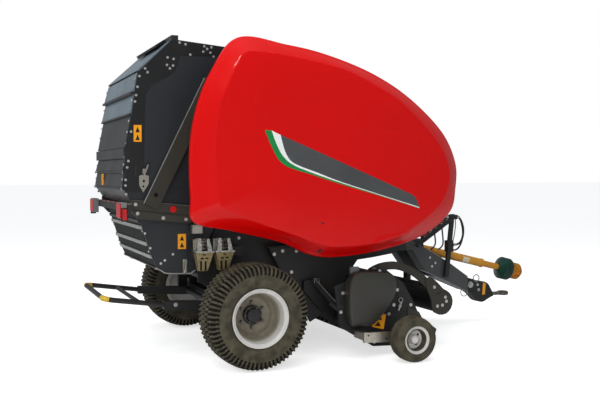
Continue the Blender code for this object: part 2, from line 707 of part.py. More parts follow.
def gauge_wheels():
    """Small pneumatic wheels that carry the pickup over the ground."""
    widen = 1 / math.cos(math.pi / GAUGE_STEPS)
    half = GAUGE_WIDTH / 2
    bead = half - 0.018
    crown = GAUGE_R * widen
    for name, side in sides():
        place = (GAUGE_X, side * GAUGE_Y, GAUGE_R)
        body = joint(f"gauge_wheel_{name}", place, PICKUP)
        profile = [
            (crown, 0.035), (crown, -0.035), (crown - 0.014, -half + 0.018), (0.150, -half),
            (0.122, -half + 0.004), (0.117, -bead), (GAUGE_RIM_R + SEAT, -bead),
            (GAUGE_RIM_R + SEAT, bead), (0.117, bead), (0.122, half - 0.004), (0.150, half),
            (crown - 0.014, half - 0.018),
        ]
        part(f"gauge_tyre_{name}", turned(profile, place, (0, side, 0), GAUGE_STEPS), "rubber", body)
        lip = bead + SEAT
        rim = [
            (GAUGE_RIM_R, lip), (GAUGE_RIM_R, -lip), (0.092, -lip), (0.092, -0.010),
            (0.036, -0.010), (0.036, -0.060), (0.0156, -0.060), (0.0156, 0.0156), (0.0, 0.0156),
            (0.0, 0.040), (0.034, 0.040), (0.036, 0.0), (0.092, 0.0),
            (0.092, lip + 0.006), (0.113, lip + 0.008), (0.113, lip),
        ]
        part(f"gauge_rim_{name}", spin_rim(rim, 0.0156, place, side, GAUGE_STEPS), "rim_silver", body)


def reel():
    """Tine reel inside the strippers: shaft, end discs and four tine bars."""
    body = joint("pickup_reel", (REEL_X, 0.0, REEL_Z), PICKUP)
    half = PICKUP_HALF - SEAT
    shaft = round_bar((REEL_X, -half, REEL_Z), (REEL_X, half, REEL_Z), 0.040, 16)
    added = []
    for y in (-0.98, 0.0, 0.98):
        added.append(round_bar((REEL_X, y - 0.006, REEL_Z), (REEL_X, y + 0.006, REEL_Z), REEL_R, 20))
    for i in range(5):
        x, z = arc((REEL_X, REEL_Z), REEL_R - 0.020, 72 * i + 18, 72 * i + 18, 1)[0]
        added.append(round_bar((x, -0.985, z), (x, 0.985, z), 0.017, 8))
    part("pickup_reel", shaft, "chassis_grey", body, add=added)


def rotor():
    """Feed rotor behind the pickup: a tube with paired discs, and the starter roller above it."""
    x, _, z = PICKUP_PIVOT
    body = joint("feed_rotor", (x, 0.0, z))
    half = WALL_INNER - SEAT
    core = round_bar((x, -half, z), (x, half, z), 0.085, 20)
    discs = []
    for i in range(5):
        y = -0.50 + 0.25 * i
        discs.append(round_bar((x, y - 0.010, z), (x, y + 0.010, z), ROTOR_R - 0.045, 12))
    part("feed_rotor", core, "steel", body, add=discs)
    place = (0.20, 0.0, 0.685)
    body = joint("starter_roller", place)
    roller = round_bar((place[0], -half, place[2]), (place[0], half, place[2]), 0.085, 20)
    part("starter_roller", roller, "steel", body)


def crop_guard():
    """Two arched arms with a cross tube that carry the crop roller in front of the pickup."""
    body = joint("crop_guard", GUARD_PIVOT, PICKUP)
    x, _, z = GUARD_ROLLER
    upper = smooth([(1.105, 0.735), (1.162, 0.764), (1.241, 0.787), (1.361, 0.793), (1.462, 0.767),
                    (1.617, 0.689), (1.742, 0.585)], 2)
    nose = arc((x, z), 0.115, 62, -200, 14)
    lower = smooth([(1.700, 0.520), (1.617, 0.600), (1.500, 0.680), (1.360, 0.724), (1.240, 0.718),
                    (1.162, 0.690), (1.115, 0.695)], 2)
    holes = [(x, z, 0.020 + RUNNING)]
    added = []
    for _, side in sides():
        added.append(plate(upper + nose + lower, *span(side, GUARD_Y, GUARD_Y + GUARD_PLATE), holes))
        y0, y1 = span(side, GUARD_Y + 0.008, PICKUP_HALF - RUNNING)
        added.append(cross_bar(GUARD_PIVOT[0], GUARD_PIVOT[2], y0, y1, 0.022))
    bar = cross_bar(1.700, 0.560, -GUARD_Y - 0.008, GUARD_Y + 0.008, 0.025, 12)
    part("crop_guard", added[0], "panel_grey", body, add=[*added[1:], bar])
    spin = joint("crop_roller", GUARD_ROLLER, body)
    drum = round_bar((x, -GUARD_Y + CLEAR, z), (x, GUARD_Y - CLEAR, z), GUARD_ROLLER_R, 24)
    pin = round_bar((x, -GUARD_Y - 0.012, z), (x, GUARD_Y + 0.012, z), 0.020, 16)
    part("crop_roller", drum, "black_plastic", spin, add=[pin])


def bar_half(x):
    """Half width of the drawbar at x."""
    return 0.25 - 0.15 * max(0.0, x - 2.11) / 0.61


def drawbar():
    """Forked box beam, its height-adjustable toothed head and the towing eye."""
    sections = [(BEAM_FRONT_X + SEAT, 0.27, 0.845, 0.985), (1.96, 0.262, 0.812, 0.905),
                (2.11, bar_half(2.11), 0.600, 0.828), (2.435, bar_half(2.435), 0.468, 0.665),
                (BAR_FRONT_X, bar_half(BAR_FRONT_X), 0.342, 0.500)]
    fork = box((1.50, -FORK_INNER, 0.50), (FORK_X, FORK_INNER, 1.10))
    part("drawbar", loft(sections), "chassis_grey", cut=[fork])
    head = [(BAR_FRONT_X + SEAT, 0.485), (BAR_FRONT_X + SEAT, 0.355), (2.800, 0.300),
            *arc((2.925, 0.312), 0.100, 230, 310, 4), (3.070, 0.270), (3.070, 0.300),
            *arc((2.935, 0.325), 0.105, 20, 110, 5), (2.820, 0.460)]
    part("hitch_head", plate(head, -0.060, 0.060), "chassis_grey")
    ring_x, ring_z = 3.237, 0.285
    eye = [(0.060, 0.012), (0.060, -0.012), (0.052, -0.020), (0.033, -0.020), (0.025, -0.012),
           (0.025, 0.012), (0.033, 0.020), (0.052, 0.020)]
    shank = box((3.070 + SEAT, -0.028, ring_z - 0.015), (3.190, 0.028, ring_z + 0.015))
    part("hitch_ring", turned(eye, (ring_x, 0.0, ring_z), (0, 0, 1), 24), "steel", add=[shank])


def driveline():
    """Gearbox between the fork arms, its guard cone, and the telescopic shaft in its guard tubes."""
    pivot = Vector(SHAFT_PIVOT)
    run = (Vector(SHAFT_END) - pivot).normalized()
    back = -run
    reach = FORK_INNER - SEAT
    case = box((BEAM_FRONT_X + SEAT, -reach, 0.825), (2.040, reach, 0.975), 0.015)
    stub = round_bar(pivot + back * 0.200, pivot + back * (0.040 + RUNNING), 0.028, 16)
    part("gearbox", case, "chassis_grey", add=[stub])
    hole = 0.028 / math.cos(math.pi / 20) + SEAT
    cone = [(0.075, 0.140), (0.098, 0.020), (0.092, 0.020), (0.070, 0.134), (hole, 0.134), (hole, 0.140)]
    part("shaft_guard_cone", turned(cone, tuple(pivot), tuple(back), 20), "black_plastic")
    outer = joint("shaft_outer", SHAFT_PIVOT)
    tube_end = pivot + run * 0.790
    knuckle = bmesh.new()
    bmesh.ops.create_uvsphere(knuckle, u_segments=16, v_segments=10, radius=0.040)
    knuckle.transform(Matrix.Translation(pivot))
    ball = from_bmesh(knuckle, smooth=True)
    pipe = round_bar(pivot + run * 0.020, tube_end, SHAFT_R, 20)
    bore = round_bar(pivot + run * 0.250, tube_end + run * 0.05, INNER_R + 0.001, 20)
    part("shaft_tube_outer", pipe, "shaft_ochre", outer, add=[ball], cut=[bore])
    inner = joint("shaft_inner", SHAFT_PIVOT, outer)
    total = (Vector(SHAFT_END) - pivot).length
    rod = round_bar(pivot + run * 0.520, pivot + run * (total - 0.20), INNER_R, 20)
    bell = [
        (0.0, -0.300), (0.045, -0.300), (0.110, -0.262), (0.118, -0.200), (0.112, -0.155),
        (0.088, -0.130), (0.088, -0.040), (0.060, 0.0), (0.0, 0.0),
    ]
    head = spindle(bell[::-1], SHAFT_END, tuple(run), 24)
    part("shaft_tube_inner", rod, "shaft_ochre", inner, add=[head])


def mast():
    """Hose mast on the drawbar's side with its slanting brace and clamps for the hoses."""
    foot_x = 2.387
    face = bar_half(foot_x - 0.0225)
    y0, y1 = -face - 0.030, -face - SEAT
    post = plate([(2.365, 0.520), (2.410, 0.520), (2.478, 1.157), (2.436, 1.157)], y0, y1)
    y_mid = (y0 + y1) / 2
    brace = round_bar((2.000, -0.2785, 0.850), (2.450, -0.2280, 1.112), 0.014, 12)
    foot = box((1.965, -0.292, 0.805), (2.035, -0.2622, 0.880))
    clamp = box((2.425, y_mid - 0.030, 1.105), (2.500, y_mid + 0.045, 1.150))
    socket = box((2.395, y_mid - 0.020, 0.775), (2.462, y_mid + 0.045, 0.890))
    part("hose_mast", post, "chassis_grey", add=[brace, clamp, socket])


def hoses():
    """Two hydraulic hoses and the lighting cable, looped from the mast's clamp to its sockets."""
    routes = (
        ("hose_long", 0.0085, ((2.5005, -0.190, 1.136), (2.520, -0.190, 1.136), (2.560, -0.188, 1.105),
                               (2.592, -0.184, 1.020), (2.600, -0.180, 0.930), (2.578, -0.180, 0.850),
                               (2.535, -0.184, 0.800), (2.490, -0.190, 0.788), (2.4625, -0.190, 0.788))),
        ("hose_short", 0.0110, ((2.5005, -0.218, 1.126), (2.522, -0.218, 1.126), (2.552, -0.222, 1.085),
                                (2.574, -0.226, 1.010), (2.568, -0.228, 0.930), (2.540, -0.224, 0.868),
                                (2.500, -0.218, 0.848), (2.480, -0.216, 0.846), (2.4625, -0.216, 0.846))),
        ("light_cable", 0.0045, ((2.5005, -0.165, 1.120), (2.510, -0.165, 1.120), (2.522, -0.165, 1.080),
                                 (2.518, -0.165, 1.000), (2.506, -0.165, 0.930), (2.490, -0.165, 0.880),
                                 (2.475, -0.165, 0.868), (2.4625, -0.165, 0.868))),
    )
    for name, radius, points in routes:
        route = [points[0], *smooth(points[1:-1], 4), points[-1]]
        part(name, tube(route, radius, 2), "rubber")


def jack():
    """Drop-leg parking jack on the drawbar's left side."""
    body = joint("jack_leg", (JACK_X, JACK_Y, 0.0))
    face = bar_half(JACK_X - 0.05)
    sleeve = round_bar((JACK_X, JACK_Y, 0.340), (JACK_X, JACK_Y, 0.900), JACK_R, 20)
    bore = round_bar((JACK_X, JACK_Y, 0.300), (JACK_X, JACK_Y, 0.880), LEG_R + 0.001, 20)
    bracket = box((JACK_X - 0.05, face + SEAT, 0.600), (JACK_X + 0.05, JACK_Y, 0.740))
    part("jack_tube", sleeve, "chassis_grey", add=[bracket], cut=[bore])
    leg = round_bar((JACK_X, JACK_Y, 0.006), (JACK_X, JACK_Y, 0.560), LEG_R, 20)
    foot = round_bar((JACK_X, JACK_Y, 0.0), (JACK_X, JACK_Y, 0.014), 0.090, 20)
    part("jack_leg", leg, "zinc", body, add=[foot])


def ramp():
    """Sprung bale ramp: a bent tube loop behind the axle on two short beams."""
    body = joint("bale_ramp", (RAMP_X, 0.0, RAMP_Z))
    loop = tube([(-0.56, -0.50, 0.462), (-1.02, -0.50, 0.530), (-1.082, -0.455, 0.540),
                 (-1.090, -0.40, 0.541), (-1.090, 0.40, 0.541), (-1.082, 0.455, 0.540),
                 (-1.02, 0.50, 0.530), (-0.56, 0.50, 0.462)], 0.022, 2)
    arms = []
    for _, side in sides():
        y0, y1 = span(side, 0.47, 0.53)
        beam = [(-0.165, 0.400), (-0.085, 0.400), (-0.085, 0.470), (-0.60, 0.500), (-0.60, 0.430)]
        arms.append(plate(beam, y0, y1))
    across = round_bar((-0.80, -0.50, 0.4975), (-0.80, 0.50, 0.4975), 0.018, 12)
    axis = round_bar((RAMP_X, -0.60, RAMP_Z), (RAMP_X, 0.60, RAMP_Z), 0.022, 16)
    part("bale_ramp", loop, "chassis_grey", body, add=[*arms, across, axis])


def spring_housings():
    """A pair of folded zinc-plated spring housings on a flat carrier beside the tailgate's foot."""
    top, waist, bottom = 1.040, 0.930, 0.775
    for name, side in sides():
        pieces, hollows = [], []
        for rear, front in ((-0.440, -0.285), (-0.270, -0.110)):
            outline = [(rear, top), (rear, waist), (rear + 0.03, bottom), (front - 0.055, bottom),
                       (front, waist), (front - 0.040, top)]
            pieces.append(plate(outline, *span(side, 0.763, 0.850)))
            mouth = [(rear + 0.05, bottom - 0.05), (front - 0.075, bottom - 0.05),
                     (front - 0.055, waist - 0.02), (rear + 0.04, waist - 0.02)]
            hollows.append(plate(mouth, *span(side, 0.773, 0.842)))
        y0, y1 = span(side, 0.752, 0.766)
        carrier = box((-0.430, y0, 0.880), (0.020, y1, 0.960))
        y0, y1 = span(side, WALL_OUTER + SEAT, 0.760)
        foot = box((-0.060, y0, 0.885), (0.015, y1, 0.955))
        part(f"spring_housing_{name}", pieces[0], "zinc", add=[pieces[1], carrier, foot], cut=hollows)


TAILGATE = joint("tailgate", TAILGATE_PIVOT)
PICKUP = joint("pickup", PICKUP_PIVOT)

chassis()
axle()
main_wheels()
rams()
hood()
belts()
tailgate()
side_covers()
pickup()
gauge_wheels()
reel()
rotor()
crop_guard()
drawbar()
driveline()
mast()
hoses()
jack()
ramp()
spring_housings()
bpy.data.collections.remove(WORK)
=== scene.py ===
"""A towed round baler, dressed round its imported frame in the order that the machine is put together.

Metres throughout. Places are measured from the main axle, x forward, y to the left, z up from the ground.
"""

import math

import bmesh
import bpy
import numpy as np
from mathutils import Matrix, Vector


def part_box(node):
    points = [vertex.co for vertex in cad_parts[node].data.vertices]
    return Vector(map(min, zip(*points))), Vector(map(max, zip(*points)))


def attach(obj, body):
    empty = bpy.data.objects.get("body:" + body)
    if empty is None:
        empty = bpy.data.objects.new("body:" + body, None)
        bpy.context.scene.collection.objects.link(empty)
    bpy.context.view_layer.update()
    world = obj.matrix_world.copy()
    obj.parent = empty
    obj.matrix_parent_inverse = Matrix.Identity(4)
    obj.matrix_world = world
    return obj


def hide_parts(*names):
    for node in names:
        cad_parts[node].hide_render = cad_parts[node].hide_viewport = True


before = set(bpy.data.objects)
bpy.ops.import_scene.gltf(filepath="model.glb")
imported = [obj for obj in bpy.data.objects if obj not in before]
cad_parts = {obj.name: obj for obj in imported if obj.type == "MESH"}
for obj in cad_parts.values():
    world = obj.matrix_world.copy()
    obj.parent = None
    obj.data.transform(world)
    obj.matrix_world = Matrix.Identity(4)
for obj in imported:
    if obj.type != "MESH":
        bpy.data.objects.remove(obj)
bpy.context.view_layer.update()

# Viewpoint: the onlooker stands well behind the right wheel at chest height and looks forward.
# The axle beam's middle is the drawing's zero, and everything below is placed from it.
beam_low, beam_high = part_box("axle_beam")
AXLE = np.array([(beam_low.x + beam_high.x) / 2, 0.0, 0.0])
camera = bpy.data.objects.new("camera", bpy.data.cameras.new("camera"))
bpy.context.scene.collection.objects.link(camera)
camera.data.sensor_width, camera.data.lens = 36.0, 49.55
camera.location = AXLE + (-2.26, -7.293, 1.56)
camera.rotation_euler = (math.radians(90 - 1.78), 0.0, math.radians(-23.18))
bpy.context.scene.camera = camera
bpy.context.scene.view_settings.view_transform = "Standard"


# Hydraulic hoses and light cable: two rubber hoses and a thin cable leave the clamp at the mast's top,
# hang forward in a loop and come back to their parking sockets lower on the mast.
def through(points, per_span, closed=False):
    """Catmull-Rom curve: each span is the cubic through two points whose slopes follow their neighbours."""
    p = np.asarray(points, float)
    at = np.arange(len(p) if closed else len(p) - 1)
    pick = (lambda k: (at + k) % len(p)) if closed else (lambda k: np.clip(at + k, 0, len(p) - 1))
    a, b, c, d = (p[pick(k)][:, None] for k in (-1, 0, 1, 2))
    t = np.linspace(0, 1, per_span, endpoint=False)[None, :, None]
    curve = b + 0.5 * ((c - a) + (2 * a - 5 * b + 4 * c - d) * t + (3 * b - a - 3 * c + d) * t * t) * t
    curve = curve.reshape(-1, p.shape[1])
    return curve if closed else np.vstack([curve, p[-1]])


def quads(rows, columns, around=False, closed=False):
    """Quads between neighbours of a grid counted row by row; closed joins the last row to the first."""
    r = np.arange(rows if closed else rows - 1)[:, None]
    c = np.arange(columns if around else columns - 1)[None, :]
    r2, c2 = (r + 1) % rows, (c + 1) % columns
    corners = (r * columns + c, r2 * columns + c, r2 * columns + c2, r * columns + c2)
    return np.stack(np.broadcast_arrays(*corners), -1).reshape(-1, 4).tolist()


def tube(path, radius, sides=12, across=(0, 1, 0), closed=False):
    """Circles set square to the path at every point; the radius may change along it."""
    path = np.asarray(path, float)
    if closed:
        along = np.roll(path, -1, 0) - np.roll(path, 1, 0)
    else:
        along = np.gradient(path, axis=0)
    along /= np.linalg.norm(along, axis=1, keepdims=True)
    first = np.cross(along, np.asarray(across, float))
    first /= np.linalg.norm(first, axis=1, keepdims=True)
    second = np.cross(along, first)
    turn = np.linspace(0, math.tau, sides, endpoint=False)[None, :, None]
    size = np.broadcast_to(np.asarray(radius, float), len(path))[:, None, None]
    rings = path[:, None] + size * (np.cos(turn) * first[:, None] + np.sin(turn) * second[:, None])
    faces = quads(len(path), sides, around=True, closed=closed)
    if not closed:
        faces += [list(range(sides)), list(range((len(path) - 1) * sides, len(path) * sides))[::-1]]
    return rings.reshape(-1, 3), faces


def turned(profile, centre, along, steps):
    """Each (radius, height) point of the profile swept round the line through the centre."""
    along = np.asarray(along, float) / np.linalg.norm(along)
    first = np.cross(along, (0, 0, 1) if abs(along[2]) < 0.9 else (1, 0, 0))
    first /= np.linalg.norm(first)
    second = np.cross(along, first)
    radius, height = np.asarray(profile, float).T[:, :, None, None]
    turn = np.linspace(0, math.tau, steps, endpoint=False)[None, :, None]
    rings = centre + radius * (np.cos(turn) * first + np.sin(turn) * second) + height * along
    return rings.reshape(-1, 3), quads(len(profile), steps, around=True)


def together(*shapes):
    """Several shapes as one: points stacked, faces renumbered."""
    points, faces, count = [], [], 0
    for shape_points, shape_faces in shapes:
        points.append(shape_points)
        faces += [[i + count for i in face] for face in shape_faces]
        count += len(shape_points)
    return np.vstack(points), faces


def upright(flat, y):
    """(x, z) points at one y."""
    flat = np.asarray(flat, float)
    return np.stack([flat[:, 0], np.full(len(flat), y), flat[:, 1]], -1)


def made(name, shapes, body, slot, replaces=(), crease=35.0, bevel=0.0):
    """A piece of the machine from (shape, material) pairs, riding on its body."""
    mesh = bpy.data.meshes.new(name)
    points, faces = together(*[shape for shape, _ in shapes])
    mesh.from_pydata(points + AXLE, [], faces)
    materials = list(dict.fromkeys(material for _, material in shapes))
    for material in materials:
        mesh.materials.append(material)
    which = np.repeat([materials.index(m) for _, m in shapes], [len(shape[1]) for shape, _ in shapes])
    mesh.polygons.foreach_set("material_index", which.astype(np.int32))
    work = bmesh.new()
    work.from_mesh(mesh)
    bmesh.ops.remove_doubles(work, verts=work.verts, dist=1e-6)
    bmesh.ops.recalc_face_normals(work, faces=work.faces)
    work.to_mesh(mesh)
    work.free()
    mesh.shade_smooth()
    mesh.set_sharp_from_angle(angle=math.radians(crease))
    thing = bpy.data.objects.new(name, mesh)
    bpy.context.scene.collection.objects.link(thing)
    if bevel:
        rounding = thing.modifiers.new("edges", "BEVEL")
        rounding.width, rounding.segments, rounding.limit_method = bevel, 2, "ANGLE"
        rounding.harden_normals = True
    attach(thing, body)
    if replaces:
        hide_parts(*replaces)
    return thing


def flipped(shapes, side):
    """Shapes drawn on the left: as they are where side is 1, mirrored to the right where it is -1."""
    return [((points * (1, side, 1), faces), material) for (points, faces), material in shapes]


def both(shapes):
    """Shapes drawn on the left, and their mirror images on the right."""
    return flipped(shapes, -1) + flipped(shapes, 1)


def pair(name, shapes, body, slot, replaces="", **how):
    """A right and a left piece from shapes drawn on the left; {} in a name stands for the side."""
    return [made(f"{name}_{word}", flipped(shapes, side), body.format(word), slot,
                 [replaces.format(word)] if replaces else (), **how)
            for word, side in (("right", -1), ("left", 1))]


def chip(red, green, blue):
    """A paint chip's 0 to 255 values as linear light."""
    share = np.array([red, green, blue]) / 255
    linear = np.where(share <= 0.04045, share / 12.92, ((share + 0.055) / 1.055) ** 2.4)
    return (*linear.tolist(), 1.0)


def finish(name, colour, rough, tint, tint_size, tint_share=0.5, grain=0.0, grain_size=0.004,
           rough_spread=0.08, metallic=0.0, coat=0.0, specular=0.5):
    """Principled finish whose colour drifts towards a tint in soft patches, over a fine surface grain."""
    material = bpy.data.materials.new(name)
    material.use_nodes = True
    nodes, links = material.node_tree.nodes, material.node_tree.links
    shader = nodes["Principled BSDF"]
    shader.inputs["Metallic"].default_value = metallic
    shader.inputs["Coat Weight"].default_value = coat
    shader.inputs["Coat Roughness"].default_value = 0.05
    shader.inputs["Specular IOR Level"].default_value = specular
    place = nodes.new("ShaderNodeTexCoord")
    patches = nodes.new("ShaderNodeTexNoise")
    patches.inputs["Scale"].default_value = 1 / tint_size
    patches.inputs["Detail"].default_value = 6
    links.new(place.outputs["Object"], patches.inputs["Vector"])
    spread = nodes.new("ShaderNodeMapRange")
    spread.inputs["From Min"].default_value, spread.inputs["From Max"].default_value = 0.35, 0.75
    spread.inputs["To Max"].default_value = tint_share
    links.new(patches.outputs["Fac"], spread.inputs["Value"])
    blend = nodes.new("ShaderNodeMix")
    blend.data_type = "RGBA"
    blend.inputs["A"].default_value = chip(*colour)
    blend.inputs["B"].default_value = chip(*tint)
    links.new(spread.outputs["Result"], blend.inputs["Factor"])
    links.new(blend.outputs["Result"], shader.inputs["Base Color"])
    matt = nodes.new("ShaderNodeMapRange")
    matt.inputs["To Min"].default_value = max(0.02, rough - rough_spread)
    matt.inputs["To Max"].default_value = min(1.0, rough + rough_spread)
    links.new(patches.outputs["Fac"], matt.inputs["Value"])
    links.new(matt.outputs["Result"], shader.inputs["Roughness"])
    if grain:
        fine = nodes.new("ShaderNodeTexNoise")
        fine.inputs["Scale"].default_value = 1 / grain_size
        fine.inputs["Detail"].default_value = 3
        links.new(place.outputs["Object"], fine.inputs["Vector"])
        relief = nodes.new("ShaderNodeBump")
        relief.inputs["Strength"].default_value = 0.6
        relief.inputs["Distance"].default_value = grain
        links.new(fine.outputs["Fac"], relief.inputs["Height"])
        links.new(relief.outputs["Normal"], shader.inputs["Normal"])
    return material


hose_rubber = finish("hose_rubber", (22, 22, 23), 0.42, (46, 44, 42), 0.05, grain=0.0003,
                     grain_size=0.002)
fitting_zinc = finish("fitting_zinc", (196, 192, 180), 0.32, (150, 142, 120), 0.02, metallic=0.9,
                      grain=0.0002, grain_size=0.003)
cap_red = finish("cap_red", (176, 24, 22), 0.4, (120, 14, 14), 0.02)
hose_runs = {
    "hose_long": (0.0085, ((2.5005, -0.19, 1.136), (2.52, -0.19, 1.136), (2.56, -0.188, 1.105),
                           (2.592, -0.184, 1.02), (2.6, -0.18, 0.93), (2.578, -0.18, 0.85),
                           (2.535, -0.184, 0.8), (2.49, -0.19, 0.788), (2.4625, -0.19, 0.788))),
    "hose_short": (0.011, ((2.5005, -0.218, 1.126), (2.522, -0.218, 1.126), (2.552, -0.222, 1.085),
                            (2.574, -0.226, 1.01), (2.568, -0.228, 0.93), (2.54, -0.224, 0.868),
                            (2.5, -0.218, 0.848), (2.48, -0.216, 0.846), (2.4625, -0.216, 0.846))),
    "light_cable": (0.0045, ((2.5005, -0.165, 1.12), (2.51, -0.165, 1.12), (2.522, -0.165, 1.08),
                             (2.518, -0.165, 1.0), (2.506, -0.165, 0.93), (2.49, -0.165, 0.88),
                             (2.475, -0.165, 0.868), (2.4625, -0.165, 0.868))),
}
for name, (radius, points) in hose_runs.items():
    points = np.array(points)
    route = np.vstack([points[:1], through(points[1:-1], 4), points[-1:]])
    hose = made(f"{name}_run", [(tube(route, radius, 14), hose_rubber)], "chassis", "hose_rubber", [name])
    ferrule = [(0, 0.001), (radius * 1.25, 0.001), (radius * 1.3, 0.004), (radius * 1.18, 0.03),
               (radius * 1.02, 0.032), (0, 0.032)]
    ends = [(turned(ferrule, end, (1, 0, 0), 14), fitting_zinc) for end in (route[0], route[-1])]
    ferrules = made(f"{name}_ferrules", ends, "chassis", "zinc")


# Studio: a wide pale floor, a broad overhead softbox and weak fill from behind the camera. To the camera
# the floor glows a little and the sky is white, so no horizon shows.
def studio():
    paper = bpy.data.materials.new("studio_white")
    paper.use_nodes = True
    nodes, links = paper.node_tree.nodes, paper.node_tree.links
    shader = nodes["Principled BSDF"].inputs
    shader["Base Color"].default_value = (0.93, 0.93, 0.93, 1)
    shader["Roughness"].default_value = 0.9
    shader["Specular IOR Level"].default_value = 0.0
    shader["Emission Color"].default_value = (1, 1, 1, 1)
    glow, ray = nodes.new("ShaderNodeMath"), nodes.new("ShaderNodeLightPath")
    glow.operation, glow.inputs[1].default_value = "MULTIPLY", 0.62
    links.new(ray.outputs["Is Camera Ray"], glow.inputs[0])
    links.new(glow.outputs[0], shader["Emission Strength"])
    span = np.linspace(-120, 120, 5)
    grid = np.stack(np.broadcast_arrays(span[None, :], span[:, None], -0.001), -1)
    mesh = bpy.data.meshes.new("studio_sweep")
    mesh.from_pydata(grid.reshape(-1, 3), [], quads(5, 5))
    mesh.materials.append(paper)
    floor = bpy.data.objects.new("studio_sweep", mesh)
    bpy.context.scene.collection.objects.link(floor)
    world = bpy.data.worlds.new("studio")
    world.use_nodes = True
    nodes, links = world.node_tree.nodes, world.node_tree.links
    soft, open_white = nodes["Background"], nodes.new("ShaderNodeBackground")
    soft.inputs["Color"].default_value, soft.inputs["Strength"].default_value = (0.93, 0.97, 1.0, 1), 0.36
    open_white.inputs["Color"].default_value = (1, 1, 1, 1)
    seen, mixed = nodes.new("ShaderNodeLightPath"), nodes.new("ShaderNodeMixShader")
    links.new(seen.outputs["Is Camera Ray"], mixed.inputs[0])
    links.new(soft.outputs[0], mixed.inputs[1])
    links.new(open_white.outputs[0], mixed.inputs[2])
    links.new(mixed.outputs[0], nodes["World Output"].inputs["Surface"])
    bpy.context.scene.world = world
    for name, place, aim, size, power in (
        ("overhead", (-1.5, -1.5, 7.0), (0, 0, 1), 5.0, 230),
        ("side_fill", (-4.5, -8.0, 3.6), (0, 0, 1.2), 4.5, 238),
        ("rear_fill", (-8.0, 1.5, 4.5), (-1, 0, 1.2), 3.0, 165),
        ("streak", (-4.2, -4.0, 6.0), (0, -1, 2.0), 0.7, 28),
    ):
        light = bpy.data.objects.new(name, bpy.data.lights.new(name, "AREA"))
        light.data.size, light.data.energy = size, power
        light.location = place
        away = np.array(place, float) - aim
        pitch = math.atan2(math.hypot(away[0], away[1]), away[2])
        light.rotation_euler = (pitch, 0, math.atan2(away[0], -away[1]))
        light.visible_glossy = name == "streak"
        bpy.context.scene.collection.objects.link(light)


studio()


# Main tyres: wide flotation tyres with rows of small tread blocks, zigzag grooves between them and
# shoulder bars running down the sidewall; moulded rubber with a film of field dust, and the faces down in
# the grooves coloured darker as painted shade.
def tyre(centre, control, bead, steps, relief):
    """A closed tyre section swept round the hub; relief lifts each point along the section's normal.

    Its faces come back in two lots, the proud ones and those down in the grooves.
    """
    outer = through(control, 14)
    seat = control[0][1]
    inner = [(bead, seat - 0.012), (bead - 0.004, seat - 0.03), (0.0, seat - 0.034),
             (0.004 - bead, seat - 0.03), (-bead, seat - 0.012)]
    section = np.vstack([outer, inner])
    run = np.gradient(outer, axis=0)
    run /= np.linalg.norm(run, axis=1, keepdims=True)
    lift_way = np.zeros_like(section)
    lift_way[: len(outer)] = np.stack([-run[:, 1], run[:, 0]], -1)
    turn = np.linspace(0, math.tau, steps, endpoint=False)
    lift = np.zeros((steps, len(section)))
    lift[:, : len(outer)] = relief(turn[:, None], outer[None, :, 0], outer[None, :, 1])
    ring = section[None] + lift[..., None] * lift_way[None]
    y, r = ring[..., 0], ring[..., 1]
    points = np.stack([r * np.cos(turn)[:, None], y, r * np.sin(turn)[:, None]], -1) + centre
    faces = quads(steps, len(section), around=True, closed=True)
    height = sum(np.roll(lift, shift, (0, 1)) for shift in ((0, 0), (-1, 0), (0, -1), (-1, -1))) / 4
    tread = (r.mean(0) > 0.345)[None] & (np.abs(y) < 0.187)
    # Faces low in the grooves, which take the darker groove colour as painted shade.
    low = ((height < 0.42 * lift.max()) & tread & (lift.max() > 0.006)).ravel()
    pair = [[face for face, deep in zip(faces, low) if deep == want] for want in (False, True)]
    return (points.reshape(-1, 3), pair[0]), (points.reshape(-1, 3), pair[1])


def soft_step(value, low, high):
    """0 below low, 1 above high, and the cubic 3t2 - 2t3 between."""
    t = np.clip((value - low) / (high - low), 0, 1)
    return t * t * (3 - 2 * t)


TREAD_BLOCKS, TREAD_DEPTH = 66, 0.0125


def block_tread(turn, y, r):
    """Tread height: rows of blocks parted by zigzag grooves, with shoulder bars down the sidewall."""
    phase = turn * TREAD_BLOCKS / math.tau
    zigzag = np.abs((phase % 1) - 0.5) * 2 - 0.5
    wide = np.abs(y)
    grooves = [np.abs(y - (0.036 * sign + 0.01 * zigzag)) for sign in (-1, 1)]
    grooves += [np.abs(y - (0.1 * sign + 0.007 * zigzag)) for sign in (-1, 1)]
    along = soft_step(np.minimum.reduce(grooves), 0.003, 0.0065)
    row = np.where(wide < 0.036, 0.0, np.where(wide < 0.1, 0.5, 0.15))
    gap = np.where(wide < 0.036, 0.1, np.where(wide < 0.1, 0.17, 0.27))
    near = np.abs(((phase + row + 2.2 * y) % 1) - 0.5)
    block = soft_step(0.5 - near, gap * 0.6, gap * 1.5)
    bars = soft_step(r, 0.338, 0.362)
    rings = 0.0016 * np.exp(-(((r - 0.3) / 0.0035) ** 2)) + 0.0022 * np.exp(-(((r - 0.262) / 0.005) ** 2))
    tread = TREAD_DEPTH * block * np.where(wide < 0.155, along, 1.0) * bars
    return tread + np.where(wide > 0.15, rings, 0.0)


